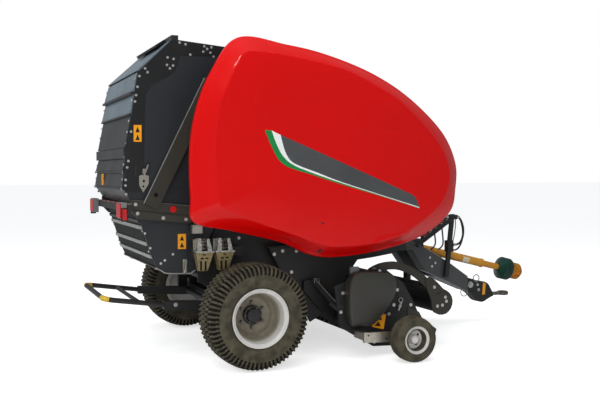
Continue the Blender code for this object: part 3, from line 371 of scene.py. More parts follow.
dusty_rubber = finish("dusty_tyre_rubber", (58, 55, 45), 0.86, (98, 93, 76), 0.07, 0.8,
                      grain=0.0008, grain_size=0.006, specular=0.3)
# Darker rubber for the faces down in the grooves: painted shade.
groove_painted_shade_rubber = finish("groove_painted_shade_rubber", (17, 16, 13), 0.9, (40, 37, 30), 0.05, 0.5, grain=0.0006,
                       grain_size=0.006, specular=0.2)
tyre_line = [(-0.163, 0.236), (-0.178, 0.246), (-0.188, 0.27), (-0.1905, 0.31), (-0.186, 0.35),
             (-0.175, 0.382), (-0.156, 0.4), (-0.12, 0.408), (-0.06, 0.4115), (0.0, 0.4125)]
tyre_line += [(-y, r) for y, r in tyre_line[-2::-1]]
hub = np.array([0.0, 1.06, 0.425])
proud, sunk = tyre(hub, tyre_line, 0.163, TREAD_BLOCKS * 9, block_tread)
pair("field_tyre", [(proud, dusty_rubber), (sunk, groove_painted_shade_rubber)], "wheel_{}", "tyre_rubber", "tyre_{}",
     crease=50)


# Main rims: pressed steel, deep dished, enamelled silver white, with six studs round a dark hub.
# The disc sits well inboard, so its face is in the shade of the well; the well's inner face is coloured a
# darker grey as painted shade.
def bolt_heads(places, along, radius, washer=1.5, height=0.7, sides_head=6):
    """A hexagon head on a washer at each place, all pointing the same way."""
    low, high = radius * 0.18, radius * height
    head = turned([(radius * washer, 0), (radius * washer, low), (radius * 1.02, low), (0, low)],
                  (0, 0, 0), along, 12)
    hexagon = turned([(radius, low * 0.5), (radius, high * 0.85), (radius * 0.86, high), (0, high)],
                     (0, 0, 0), along, sides_head)
    points, faces = together(head, hexagon)
    places = np.asarray(places, float).reshape(-1, 3)
    spread = (places[:, None] + points[None]).reshape(-1, 3)
    return spread, [[i + len(points) * k for i in face] for k in range(len(places)) for face in faces]


def side_bolts(places, y, radius):
    """Bolt heads at (x, z) places on a face that looks out to the left."""
    return bolt_heads([(x, y, z) for x, z in places], (0, 1, 0), radius)


def ring_of(count, radius, centre, start=0.0):
    """Places evenly round a circle about a line along y."""
    turn = start + np.arange(count) * math.tau / count
    return np.stack([np.cos(turn), 0 * turn, np.sin(turn)], -1) * radius + centre


rim_enamel = finish("rim_silver_enamel", (214, 212, 208), 0.34, (188, 184, 176), 0.12, 0.5,
                    metallic=0.15, coat=0.3, grain=0.0003, grain_size=0.01)
# A darker grey laid over the inside of the well: painted shade.
rim_well_painted_shade = finish("rim_well_dusty", (142, 134, 116), 0.5, (104, 100, 92), 0.05, 0.7, grain=0.0005)
hub_black = finish("hub_black", (34, 34, 36), 0.45, (24, 24, 24), 0.05, grain=0.0004)
stud_steel = finish("stud_steel", (120, 116, 108), 0.4, (70, 64, 56), 0.02, metallic=0.9)
face = [(0.0, -0.058), (0.205, -0.058), (0.208, -0.15), (0.214, -0.168), (0.232, -0.172),
        (0.2365, -0.178), (0.2345, -0.184), (0.228, -0.183), (0.222, -0.176), (0.205, -0.172),
        (0.197, -0.15), (0.195, -0.06), (0.0, -0.0585)]
bowl = [(0.205, -0.06), (0.206, 0.12), (0.21, 0.156), (0.228, 0.163), (0.2345, 0.17), (0.2375, 0.178),
        (0.235, 0.1845), (0.229, 0.185), (0.224, 0.178), (0.215, 0.169), (0.206, 0.164),
        (0.199, 0.15), (0.195, 0.12), (0.192, 0.1), (0.184, 0.092), (0.18, 0.08),
        (0.178, 0.03), (0.17, 0.016), (0.161, 0.004), (0.157, -0.02), (0.15, -0.034),
        (0.14, -0.041), (0.128, -0.045), (0.076, -0.045), (0.074, -0.05), (0.0, -0.05)]
# The bowl's inner face again, just inside it, which takes the painted shade colour.
shaded = [(0.1915, 0.1003), (0.1836, 0.0925), (0.1795, 0.08), (0.1775, 0.0303), (0.1696, 0.0163),
          (0.1605, 0.0042), (0.1565, -0.0198), (0.1497, -0.0335), (0.14, -0.0405), (0.128, -0.0445),
          (0.076, -0.0445)]
shaded += [(radius + 0.001, height - 0.001) for radius, height in shaded[::-1]] + shaded[:1]
cap = [(0.0785, -0.046), (0.0785, -0.014), (0.075, -0.008), (0.06, -0.006), (0.056, 0.01),
       (0.052, 0.016), (0.03, 0.019), (0.0, 0.02)]
lugs = ring_of(6, 0.102, hub + (0, -0.045, 0), math.pi / 6)
hub_bolts = ring_of(6, 0.062, hub + (0, -0.007, 0))
valve = tube(hub + np.array([(0.1, -0.02, 0.135), (0.108, 0.02, 0.145), (0.112, 0.045, 0.15)])
             * (-1, 1, 1), 0.005, 8)
pair("dished_rim", [
    (turned(bowl, hub, (0, 1, 0), 72), rim_enamel),
    (turned(face, hub, (0, 1, 0), 72), rim_enamel),
    # Inner face of the well in painted shade.
    (turned(shaded, hub, (0, 1, 0), 72), rim_well_painted_shade),
    (turned(cap, hub, (0, 1, 0), 36), hub_black),
    (bolt_heads(lugs, (0, 1, 0), 0.0135, 1.35, 1.6), stud_steel),
    (bolt_heads(hub_bolts, (0, 1, 0), 0.007, 1.3, 0.8), stud_steel),
    (valve, hub_black),
], "wheel_{}", "rim_silver", "rim_{}", crease=30)


# Gauge wheels: plain ribbed pneumatic tyres on small dished rims with a grease cap.
# They carry the pickup and roll on stub axles at the ends of galvanised arms.
def rib_tread(turn, y, r):
    """Tread height of a road-ribbed tyre: shallow grooves round the crown and faint shoulder marks."""
    groove = np.minimum(np.abs(np.abs(y) - 0.016), np.abs(np.abs(y) - 0.042))
    crown = 0.0035 * soft_step(groove, 0.0012, 0.0035) * soft_step(r, 0.165, 0.176)
    shoulder = 0.001 * (np.sin(turn * 64) > 0) * soft_step(r, 0.16, 0.168) * (np.abs(y) > 0.055)
    rings = 0.0012 * np.exp(-(((r - 0.14) / 0.003) ** 2))
    return crown + shoulder + np.where(np.abs(y) > 0.06, rings, 0.0)


gauge_line = [(-0.0645, 0.113), (-0.073, 0.119), (-0.08, 0.132), (-0.0815, 0.148), (-0.077, 0.166),
              (-0.066, 0.178), (-0.045, 0.1845), (-0.02, 0.186), (0.0, 0.1862)]
gauge_line += [(-y, r) for y, r in gauge_line[-2::-1]]
hub = np.array([1.3, 1.37, 0.19])
proud, sunk = tyre(hub, gauge_line, 0.0645, 192, rib_tread)
pair("gauge_tyre_ribbed", [(proud, dusty_rubber), (sunk, groove_painted_shade_rubber)],
     "gauge_wheel_{}", "tyre_rubber", "gauge_tyre_{}", crease=45)
dish = [(0.094, -0.06), (0.096, 0.056), (0.101, 0.064), (0.112, 0.066), (0.116, 0.07),
        (0.115, 0.0745), (0.11, 0.0748), (0.104, 0.07), (0.096, 0.066), (0.09, 0.058),
        (0.087, 0.03), (0.082, 0.012), (0.074, 0.002), (0.064, -0.002), (0.042, -0.002),
        (0.038, 0.004), (0.036, 0.03), (0.033, 0.042), (0.027, 0.045), (0.02, 0.05),
        (0.0, 0.051)]
back = [(0.096, -0.04), (0.098, -0.061), (0.103, -0.065), (0.114, -0.0675), (0.116, -0.072),
        (0.113, -0.0755), (0.104, -0.073), (0.092, -0.066), (0.086, -0.012), (0.036, -0.01),
        (0.036, -0.058), (0.0, -0.058)]
pair("gauge_rim_dished", [
    (turned(dish, hub, (0, 1, 0), 56), rim_enamel),
    (turned(back, hub, (0, 1, 0), 56), rim_enamel),
    (bolt_heads(ring_of(4, 0.058, hub + (0, -0.002, 0), 0.6), (0, 1, 0), 0.0075), stud_steel),
], "gauge_wheel_{}", "rim_silver", "gauge_rim_{}", crease=30)


# Side covers: glass-fibre shells in red gelcoat. A broad band rolls from the edge up to a crease, and
# the face inside it is slightly crowned. They are laid up in one mould and mirrored for the left.
cover_edge = [(-0.128, 2.642), (-0.35, 2.36), (-0.472, 2.05), (-0.52, 1.74), (-0.514, 1.38),
              (-0.485, 1.185), (-0.16, 1.105), (0.262, 1.0), (0.508, 0.892), (0.752, 0.862),
              (1.185, 0.905), (1.6, 1.022), (1.85, 1.215), (1.908, 1.43), (1.905, 1.665),
              (1.762, 1.935), (1.435, 2.218), (1.07, 2.415), (0.645, 2.55), (0.283, 2.612)]
cover_crease = [(-0.085, 2.515), (-0.165, 2.418), (-0.235, 2.279), (-0.3, 2.129), (-0.336, 1.937),
                (-0.35, 1.747), (-0.34, 1.543), (-0.328, 1.38), (-0.314, 1.316), (-0.255, 1.284),
                (0.01, 1.184), (0.3, 1.085), (0.566, 0.995), (0.74, 0.972), (1.037, 0.992),
                (1.351, 1.085), (1.54, 1.19), (1.69, 1.32), (1.765, 1.5), (1.74, 1.69),
                (1.63, 1.856), (1.469, 2.016), (1.26, 2.184), (1.049, 2.29), (0.843, 2.381),
                (0.643, 2.436), (0.379, 2.482), (0.13, 2.513)]
cover_middle = np.array([0.7, 1.72])


def polar(points):
    """Angle and distance of (x, z) points from the cover's middle."""
    away = np.asarray(points, float) - cover_middle
    return np.arctan2(away[..., 1], away[..., 0]), np.hypot(away[..., 0], away[..., 1])


def reach_at(loop, turn):
    """Distance from the cover's middle to a closed loop in each direction."""
    angle, distance = polar(loop)
    order = np.argsort(angle)
    return np.interp(turn, angle[order], distance[order], period=math.tau)


crease_loop = through(cover_crease, 12, closed=True)


def from_line(points, line):
    """Distance from each (x, z) point to the nearest stretch of a polyline."""
    points = np.asarray(points, float)
    line = np.asarray(line, float)
    start, run = line[:-1], np.diff(line, axis=0)
    away = points[..., None, :] - start
    share = np.clip((away * run).sum(-1) / (run * run).sum(-1), 0, 1)
    return np.linalg.norm(away - share[..., None] * run, axis=-1).min(-1)


front_fold = through([(1.114, 1.935), (1.297, 1.91), (1.464, 1.793), (1.585, 1.64), (1.626, 1.477)], 6)
rear_fold = np.array([(-0.065, 2.171), (0.02, 2.002), (0.06, 1.905)])


def face_y(points):
    """How far out the cover's face stands: 1.19 at the crease, 1.22 in the middle, less two soft folds."""
    angle, distance = polar(points)
    share = distance / reach_at(crease_loop, angle)
    crown = 1.19 + 0.03 * (1 - np.clip(share, 0, 1) ** 2.2)
    dents = 0.0042 * np.exp(-((from_line(points, front_fold) / 0.016) ** 2))
    dents += 0.0035 * np.exp(-((from_line(points, rear_fold) / 0.014) ** 2))
    return crown - dents


def cover_shell():
    """Rings from the edge's return, over its rolled corner, up the band to the crease, then inwards.

    Along the bottom the band leans further in, so its lower edge is tucked under the face.
    """
    edge = through(cover_edge, 18, closed=True)
    turn, out = polar(edge)
    inner = reach_at(crease_loop, turn)
    tuck = 0.045 * soft_step(-np.sin(turn), 0.3, 0.62)
    rings = []
    for y, draw in ((1.03, 0.0), (1.048, 0.0), (1.064, 0.0), (1.08, 0.003), (1.09, 0.01), (1.097, 0.022)):
        rings.append((out - draw, y - tuck))
    band_from, band_to = out - 0.022, inner + 0.01
    for share in np.linspace(0.12, 1, 9):
        bow = 0.004 * math.sin(math.pi * share)
        band_y = 1.097 - tuck + (0.088 + tuck) * share + bow
        rings.append((band_from + (band_to - band_from) * share, band_y))
    rings.append((inner + 0.004, np.full_like(out, 1.1882)))
    for share in (1.0, 0.994, 0.985, 0.97, *np.linspace(0.95, 0.02, 56)):
        distance = inner * share
        spot = cover_middle + distance[:, None] * np.stack([np.cos(turn), np.sin(turn)], -1)
        rings.append((distance, face_y(spot)))
    distance, y = (np.stack(column) for column in zip(*rings))
    x = cover_middle[0] + distance * np.cos(turn)
    z = cover_middle[1] + distance * np.sin(turn)
    along = np.stack([x, z], -1)
    ridge = from_line(along, [(1.07, 0.985), (1.25, 1.015), (1.39, 1.05)])
    y = y + 0.014 * soft_step(0.042 - ridge, 0.0, 0.026) * (y > 1.1)
    points = np.stack([x, y, z], -1)
    count = len(turn)
    faces = quads(len(rings), count, around=True)
    faces.append([(len(rings) - 1) * count + i for i in range(count)])
    return points.reshape(-1, 3), faces


def bar(start, end, wide, deep, up=(0, 0, 1)):
    """A rectangular bar between two places, wide across and deep towards `up`."""
    start, end, up = (np.asarray(v, float) for v in (start, end, up))
    along = (end - start) / np.linalg.norm(end - start)
    across = np.cross(up, along)
    across /= np.linalg.norm(across)
    up = np.cross(along, across)
    signs = np.array([(-1, -1), (1, -1), (1, 1), (-1, 1)]) / 2
    ring = signs[:, :1] * wide * across + signs[:, 1:] * deep * up
    return np.vstack([start + ring, end + ring]), quads(2, 4, around=True) + [[3, 2, 1, 0], [4, 5, 6, 7]]


gelcoat = finish("red_gelcoat", (207, 1, 1), 0.34, (196, 1, 1), 0.6, 0.6, rough_spread=0.03,
                 grain=0.00022, grain_size=0.02, coat=0.3, specular=0.12)
for shell in pair("cover_shell", [(cover_shell(), gelcoat)], "side_cover_{}", "cover_red", "side_cover_{}",
                  crease=60):
    wall = shell.modifiers.new("wall", "SOLIDIFY")
    wall.thickness, wall.offset = 0.008, -1.0
lugs = [(bar((x + 0.0265, 0.936, 2.5), (x + 0.0265, 1.064, rise), 0.011, 0.026), fitting_zinc)
        for x, rise in ((0.1, 2.585), (0.55, 2.505))]
pair("cover_lugs", lugs, "side_cover_{}", "zinc", bevel=0.002)


# Cover graphics: one long wedge of film with a green and a white border on its rear and lower edges,
# left blank, pressed onto the crowned face.
FILM_FACES = (0.0012, 0.00024)


def film(upper, lower):
    """A closed strip of film between two edges with as many points, laid on the cover's face."""
    upper, lower = np.asarray(upper, float), np.asarray(lower, float)
    share = np.linspace(0, 1, 9)[:, None, None]
    flat = upper[None] * (1 - share) + lower[None] * share
    y = face_y(flat)
    outside, inside = (np.stack([flat[..., 0], y + rise, flat[..., 1]], -1) for rise in FILM_FACES)
    rows, columns = outside.shape[:2]
    faces = quads(rows, columns)
    under = [[i + rows * columns for i in face[::-1]] for face in faces]
    rim = [*range(columns), *range(2 * columns - 1, rows * columns, columns),
           *range(rows * columns - 2, (rows - 1) * columns - 1, -1),
           *range((rows - 2) * columns, 0, -columns)]
    wall = [[a, b, b + rows * columns, a + rows * columns] for a, b in zip(rim, rim[1:] + rim[:1])]
    return np.vstack([outside.reshape(-1, 3), inside.reshape(-1, 3)]), faces + under + wall


film_grey = finish("film_grey", (64, 66, 68), 0.3, (84, 86, 88), 0.5, coat=0.3)
film_white = finish("film_white", (236, 238, 236), 0.3, (220, 222, 220), 0.5, coat=0.3)
film_green = finish("film_green", (0, 132, 60), 0.3, (0, 118, 54), 0.5, coat=0.3)
knots = {
    "outer": [(0.045, 1.909), (0.094, 1.791), (0.157, 1.68), (0.245, 1.617), (0.45, 1.555), (0.698, 1.481),
              (1.08, 1.377), (1.462, 1.269)],
    "green": [(0.101, 1.905), (0.148, 1.786), (0.204, 1.697), (0.29, 1.632), (0.46, 1.568), (0.698, 1.493),
              (1.08, 1.383), (1.462, 1.272)],
    "white": [(0.176, 1.871), (0.213, 1.745), (0.264, 1.668), (0.345, 1.625), (0.5, 1.572), (0.7, 1.501),
              (1.08, 1.389), (1.46, 1.281)],
}
edges = {key: through(line, 8) for key, line in knots.items()}
edges["top"] = np.vstack([np.linspace((0.176, 1.872), (1.377, 1.391), 50),
                          [(1.408, 1.374), (1.428, 1.35), (1.44, 1.325), (1.45, 1.302), (1.456, 1.29),
                           (1.459, 1.285), (1.46, 1.283)]])
pair("cover_film", [
    (film(edges["outer"], edges["green"]), film_green),
    (film(edges["green"], edges["white"]), film_white),
    (film(edges["top"], edges["white"]), film_grey),
], "side_cover_{}", "cover_red", crease=60)
screw = (0.552, 1.164)
pair("cover_screws", [
    (side_bolts([screw], float(face_y(screw)), 0.007), hub_black),
    (bar((0.545, 1.1215, 0.918), (0.577, 1.1215, 0.942), 0.016, 0.012), hub_black),
], "side_cover_{}", "black_plastic", bevel=0.001)


# Chassis: bent and welded plate in satin anthracite, with bolted joints along its edges.
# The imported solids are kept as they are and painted; bolt heads, seams and covers are added to them.
anthracite = finish("anthracite_powder_coat", (34, 34, 34), 0.5, (46, 45, 42), 0.3, 0.6,
                    grain=0.0004, grain_size=0.006, specular=0.4)
sheet_grey = finish("pressed_sheet_grey", (36, 38, 40), 0.42, (30, 32, 34), 0.5, 0.5,
                    grain=0.0003, grain_size=0.02, specular=0.5)
olive_grey = finish("olive_grey_paint", (50, 48, 42), 0.55, (60, 57, 48), 0.2, 0.6,
                    grain=0.0005, grain_size=0.006, specular=0.4)
bright_bolt = finish("bright_zinc_bolt", (216, 216, 212), 0.3, (170, 168, 158), 0.01, metallic=0.75)
# Flat black standing in for holes, slots, vents and the gap behind the slats: painted shade.
painted_shade_black = finish("painted_recess_shade", (5, 5, 5), 0.8, (9, 9, 9), 0.05)
rubber_black = finish("black_rubber", (24, 24, 24), 0.6, (38, 37, 35), 0.06, grain=0.0004)
machined = finish("machined_steel", (170, 168, 162), 0.3, (120, 112, 100), 0.03, metallic=0.95)


def paint(node, material):
    """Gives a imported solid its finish."""
    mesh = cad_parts[node].data
    mesh.materials.clear()
    mesh.materials.append(material)


for coat, nodes in {
    anthracite: "main_frame axle_beam net_tray gearbox jack_tube hose_mast lamp_bar bale_ramp pickup_reel "
                "ram_barrel_right ram_barrel_left",
    sheet_grey: "roof_panel front_panel net_lid",
    olive_grey: "crop_guard tailgate_brace_right tailgate_brace_left tailgate_rail_right "
                "tailgate_rail_left",
    machined: "starter_roller ram_rod_right ram_rod_left",
    fitting_zinc: "jack_leg wheel_arm_right wheel_arm_left",
}.items():
    for node in nodes.split():
        paint(node, coat)


def slab(outline, y0, y1):
    """A flat outline of (x, z) points carried along y, closed by its two faces."""
    count = len(outline)
    faces = quads(2, count, around=True) + [list(range(count)), list(range(count, 2 * count))[::-1]]
    return np.vstack([upright(outline, y0), upright(outline, y1)]), faces


def eased(outline, radius, steps=5):
    """The outline with each corner replaced by the quadratic curve that leaves its two edges smoothly."""
    p = np.asarray(outline, float)
    before, after = np.roll(p, 1, 0) - p, np.roll(p, -1, 0) - p
    near = [np.minimum(radius, np.linalg.norm(e, axis=1, keepdims=True) * 0.45) for e in (before, after)]
    a = p + before / np.linalg.norm(before, axis=1, keepdims=True) * near[0]
    b = p + after / np.linalg.norm(after, axis=1, keepdims=True) * near[1]
    t = np.linspace(0, 1, steps)[None, :, None]
    curve = (1 - t) ** 2 * a[:, None] + 2 * t * (1 - t) * p[:, None] + t * t * b[:, None]
    return curve.reshape(-1, 2)


def disc_outline(x, z, radius, steps=24):
    """Points round a circle."""
    turn = np.linspace(0, math.tau, steps, endpoint=False)
    return np.stack([x + radius * np.cos(turn), z + radius * np.sin(turn)], -1)


def wire_ring(x, y, z, size, wire, sides=6, steps=16):
    """A ring of round wire that hangs square to y."""
    return tube(upright(disc_outline(x, z, size, steps), y), wire, sides, closed=True)


def block(low, high):
    """A rectangular block between two corners."""
    low, high = np.asarray(low, float), np.asarray(high, float)
    middle = (low + high) / 2
    return bar((low[0], *middle[1:]), (high[0], *middle[1:]), high[1] - low[1], high[2] - low[2])


hood_slope = [(0.044, 2.551), (0.268, 2.506), (0.444, 2.478), (0.615, 2.438), (0.818, 2.376),
              (1.018, 2.298), (1.187, 2.207), (1.344, 2.102), (1.502, 1.974), (1.635, 1.845),
              (1.719, 1.726), (1.768, 1.619), (1.786, 1.529), (1.78, 1.443), (1.759, 1.362),
              (1.717, 1.287), (1.642, 1.211), (1.522, 1.135)]


def bent_sheet(line, y0, y1, low, high):
    """A sheet that follows an (x, z) line across the machine, between two offsets from it."""
    line = np.asarray(line, float)
    run = np.gradient(line, axis=0)
    run /= np.linalg.norm(run, axis=1, keepdims=True)
    out = np.stack([-run[:, 1], run[:, 0]], -1)
    return slab(np.vstack([line + out * low, (line + out * high)[::-1]]), y0, y1)


hood_curve = through(hood_slope, 4)
plate = [(0.25, 0.935), (0.37, 0.72), (0.455, 0.6), (0.5, 0.685), (0.56, 0.76), (0.6, 0.8), (0.56, 0.94)]
latch = [(1.56, 1.02), (1.62, 1.02), (1.64, 1.14), (1.58, 1.14)]
plate_bolts = [(0.377, 0.905), (0.505, 0.9), (0.46, 0.72), (0.3, 0.88)]
wall_bolts = [(0.02, 0.66), (0.02, 0.78), (0.02, 0.9), (0.02, 1.02), (1.4, 0.93), (1.4, 1.02), (0.9, 0.9)]
pair("side_plate", [
    (slab(eased(plate, 0.02), 0.7503, 0.756), anthracite),
    (side_bolts(plate_bolts, 0.756, 0.01), bright_bolt),
    (side_bolts(wall_bolts, 0.65, 0.009), bright_bolt),
    (bent_sheet(hood_curve, 0.893, 0.962, -0.016, -0.01), rubber_black),
    (slab(eased(latch, 0.01), 0.66, 0.7), anthracite),
], "chassis", "chassis_paint", bevel=0.0015)

roof_ribs = [(bent_sheet(hood_curve[1:26], y - 0.02, y + 0.02, -0.001, 0.007), sheet_grey)
             for y in (-0.72, -0.36, 0.0, 0.36, 0.72)]
roof_bolts = [(x, y, z + 0.001) for x, z in hood_curve[4:26:7]
              for y in (-0.86, -0.54, -0.18, 0.18, 0.54, 0.86)]
made("roof_ribs", roof_ribs + [(bolt_heads(roof_bolts, (0.22, 0, 0.97), 0.008), bright_bolt)],
     "chassis", "panel_paint", bevel=0.002)
lid_ribs = [(bent_sheet(hood_curve[30:50], y - 0.025, y + 0.025, -0.001, 0.008), sheet_grey)
            for y in (-0.6, -0.2, 0.2, 0.6)]
grip = tube(through([(1.728, -0.12, 1.65), (1.77, -0.11, 1.668), (1.775, 0.0, 1.67), (1.77, 0.11, 1.668),
                     (1.728, 0.12, 1.65)], 5), 0.009, 10, across=(1, 0, 0.3))
made("net_lid_ribs", lid_ribs + [(grip, hub_black)], "net_lid", "panel_paint", bevel=0.002)
front_ribs = [(bent_sheet(hood_curve[54:67], y - 0.025, y + 0.025, -0.001, 0.008), sheet_grey)
              for y in (-0.6, -0.2, 0.2, 0.6)]
# The vents are thin black strips: painted shade for their openings.
vents = [(bent_sheet(hood_curve[56:66:3], y, y + 0.1, 0.0005, 0.003), painted_shade_black)
         for y in np.arange(-0.5, 0.5, 0.4)]
made("front_panel_ribs", front_ribs + vents, "chassis", "panel_paint", bevel=0.002)


# Tailgate walls: a flat panel of sheet bolted inside a frame of darker gusset plates, with bright bolts
# round its edge. The lock plate, reflectors and blank signs are screwed or stuck on outside.
GUSSET_FACE, RAIL_FACE = 0.6535, 0.6845
gusset_dark = finish("gusset_black", (19, 20, 21), 0.5, (28, 29, 30), 0.2, 0.6, grain=0.0004)
panel_satin = finish("tailgate_satin", (39, 42, 45), 0.4, (33, 36, 39), 0.5, 0.6, grain=0.0002,
                     grain_size=0.02, specular=0.4)
# Pale colour for strips along upper edges and lips: painted highlights.
painted_highlight_strip = finish("painted_edge_highlight", (160, 162, 158), 0.4, (90, 91, 88), 0.03, metallic=0.4)
sign_orange = finish("sign_orange", (238, 158, 18), 0.4, (226, 140, 8), 0.05)
sign_black = finish("sign_black", (26, 22, 16), 0.5, (50, 40, 20), 0.05)
reflector_red = finish("reflector_red", (188, 18, 16), 0.35, (150, 8, 10), 0.01, coat=0.2,
                       grain=0.0008, grain_size=0.004)
reflector_white = finish("reflector_white", (226, 226, 220), 0.2, (190, 190, 186), 0.01, coat=1.0)


def blank_sign(corners, y):
    """A small upright sign: an orange field with two plain dark triangles where its pictures would be."""
    c = np.asarray(corners, float)
    across, down = c[1] - c[0], c[3] - c[0]
    shapes = [(slab(c, y, y + 0.0012), sign_orange)]
    for top in (0.1, 0.56):
        places = ((0.22, top + 0.34), (0.5, top), (0.78, top + 0.34))
        mark = [c[0] + across * a + down * d for a, d in places]
        shapes.append((slab(mark, y + 0.0012, y + 0.0018), sign_black))
    return shapes


def corners_of(x0, x1, z0, z1):
    """Corners of an upright rectangle, from its top left round."""
    return [(x0, z1), (x1, z1), (x1, z0), (x0, z0)]


gusset = [(-0.553, 2.655), (-0.1, 2.618), (-0.085, 2.548), (-0.487, 2.537), (-0.53, 2.396), (-0.737, 2.282),
          (-0.79, 1.6), (-0.8, 1.42), (-0.93, 1.42), (-0.945, 1.44), (-0.915, 1.76), (-0.88, 2.044),
          (-0.827, 2.376)]
door = [(-0.479, 2.53), (-0.127, 2.516), (-0.14, 2.2), (-0.15, 1.6), (-0.3, 1.45), (-0.741, 1.45),
        (-0.79, 1.635), (-0.772, 2.224), (-0.528, 2.392)]
foot_panel = [(-0.77, 1.165), (-0.42, 1.14), (-0.3, 1.06), (-0.365, 0.79), (-0.42, 0.75), (-0.59, 0.758),
              (-0.675, 0.8), (-0.735, 0.935)]
wall_bolts = [(-0.489, 2.639), (-0.44, 2.628), (-0.28, 2.62), (-0.219, 2.616), (-0.255, 2.6),
              (-0.289, 2.576), (-0.227, 2.571), (-0.59, 2.512), (-0.54, 2.503), (-0.596, 2.451),
              (-0.545, 2.448), (-0.572, 2.424), (-0.775, 2.413), (-0.755, 2.384), (-0.822, 2.35),
              (-0.838, 2.263), (-0.85, 2.196), (-0.859, 2.145), (-0.892, 1.903), (-0.915, 1.667),
              (-0.925, 1.615), (-0.938, 1.516), (-0.94, 1.47), (-0.935, 1.4), (-0.785, 1.081),
              (-0.742, 0.96), (-0.622, 0.855), (-0.655, 0.831), (-0.554, 0.903), (-0.4, 2.545),
              (-0.2, 2.54)]
lip = through([(-0.7, 0.7985), (-0.646, 0.769), (-0.6, 0.7475), (-0.411, 0.7385), (-0.395, 0.7465),
               (-0.366, 0.762)], 3)
shapes = [
    (slab(gusset, 0.6495, GUSSET_FACE), gusset_dark),
    (slab(eased(door, 0.05), 0.6495, 0.6555), panel_satin),
    (slab(eased(foot_panel, 0.02), 0.6495, 0.653), panel_satin),
    # Pale tube along the foot panel's lip: painted highlight.
    (tube(upright(lip, 0.6545), 0.006, 8), painted_highlight_strip),
    (side_bolts(wall_bolts, GUSSET_FACE, 0.007), bright_bolt),
]
shield = [(-0.832, 1.547), (-0.806, 1.556), (-0.778, 1.556), (-0.752, 1.547), (-0.754, 1.482),
          (-0.799, 1.413), (-0.831, 1.474)]
shapes += [
    (slab(shield, 0.655, 0.664), fitting_zinc),
    # Two black discs on the lock plate stand for its holes: painted shade.
    (slab(disc_outline(-0.794, 1.505, 0.01), 0.664, 0.667), painted_shade_black),
    (slab(disc_outline(-0.798, 1.462, 0.008), 0.664, 0.667), painted_shade_black),
    (slab(corners_of(-0.804, -0.782, 1.565, 1.605), GUSSET_FACE, 0.672), fitting_zinc),
    (bar((-0.793, 0.676, 1.556), (-0.76, 0.676, 1.64), 0.012, 0.012), fitting_zinc),
    (slab(disc_outline(-0.752, 1.646, 0.011), 0.66, 0.684), rubber_black),
    (slab(corners_of(-0.87, -0.846, 1.545, 1.63), GUSSET_FACE, 0.662), anthracite),
    (slab(disc_outline(-0.559, 1.275, 0.027), RAIL_FACE, 0.691), reflector_red),
    (slab(disc_outline(-0.559, 1.275, 0.031), RAIL_FACE, 0.688), rubber_black),
]
shapes += blank_sign(corners_of(-0.872, -0.808, 1.822, 1.957), 0.6555)
shapes += blank_sign(corners_of(-0.512, -0.443, 0.944, 1.068), 0.653)
handle = through([(-0.446, GUSSET_FACE, 0.851), (-0.446, 0.675, 0.847), (-0.452, 0.68, 0.8),
                  (-0.459, 0.675, 0.756), (-0.46, GUSSET_FACE, 0.752)], 4)
shapes.append((tube(handle, 0.008, 10, across=(1, 0, 0)), fitting_zinc))
shapes.append((slab(corners_of(-0.47, -0.436, 0.735, 0.858), 0.653, 0.656), fitting_zinc))
pair("tailgate_fittings", shapes, "tailgate", "panel_paint", bevel=0.0012)

# Rails, braces and lamp bar: channel and flat bar bolted to the walls, with pale strips along their upper
# edges as painted highlights.
# Square lamps with red lenses stand on the bar, with a strip of reflecting tape along its top.
lamp_grey = finish("lamp_housing_grey", (112, 114, 116), 0.5, (96, 98, 100), 0.05)
foot, top = np.array((-0.745, 1.3)), np.array((-0.235, 2.33))
run = (top - foot) / np.linalg.norm(top - foot)
out = np.array((-run[1], run[0]))
(x0, z0), (x1, z1) = foot + out * 0.062, top + out * 0.062
rail_seam = [(-0.897, 1.272), (-0.412, 1.213), (-0.412, 1.219), (-0.897, 1.278)]
rail_bolts = [(-0.866, 1.318), (-0.85, 1.245), (-0.64, 1.205), (-0.45, 1.19)]
pair("tailgate_trim", [
    # Pale strips on the brace and rail edges: painted highlights.
    (bar((x0, 0.69, z0), (x1, 0.69, z1), 0.018, 0.006, up=(out[0], 0, out[1])), painted_highlight_strip),
    (bar((-0.897, 0.668, 1.3525), (-0.412, 0.668, 1.2985), 0.034, 0.004), painted_highlight_strip),
    (slab(rail_seam, RAIL_FACE, 0.688), gusset_dark),
    (side_bolts(rail_bolts, RAIL_FACE, 0.01), bright_bolt),
    (block((-0.985, 0.752, 1.196), (-0.952, 0.759, 1.284)), reflector_red),
    (block((-0.994, 0.746, 1.186), (-0.943, 0.753, 1.294)), rubber_black),
], "tailgate", "chassis_paint", bevel=0.001)
rear = [
    (block((-0.992, 0.571, 1.205), (-0.947, 0.749, 1.335)), lamp_grey),
    (block((-1.002, 0.583, 1.214), (-0.99, 0.6755, 1.326)), reflector_red),
    (block((-1.002, 0.6815, 1.214), (-0.99, 0.737, 1.326)), reflector_red),
]
pair("rear_lamp", rear, "tailgate", "lamp_red", "lamp_{}", bevel=0.003)
tape = [(block((-0.95, y, 1.3225), (-0.902, y + 0.118, 1.3245)), (reflector_white, reflector_red)[i % 2])
        for i, y in enumerate(np.arange(-0.72, 0.6, 0.12))]
made("lamp_bar_tape", tape, "tailgate", "lamp_red")

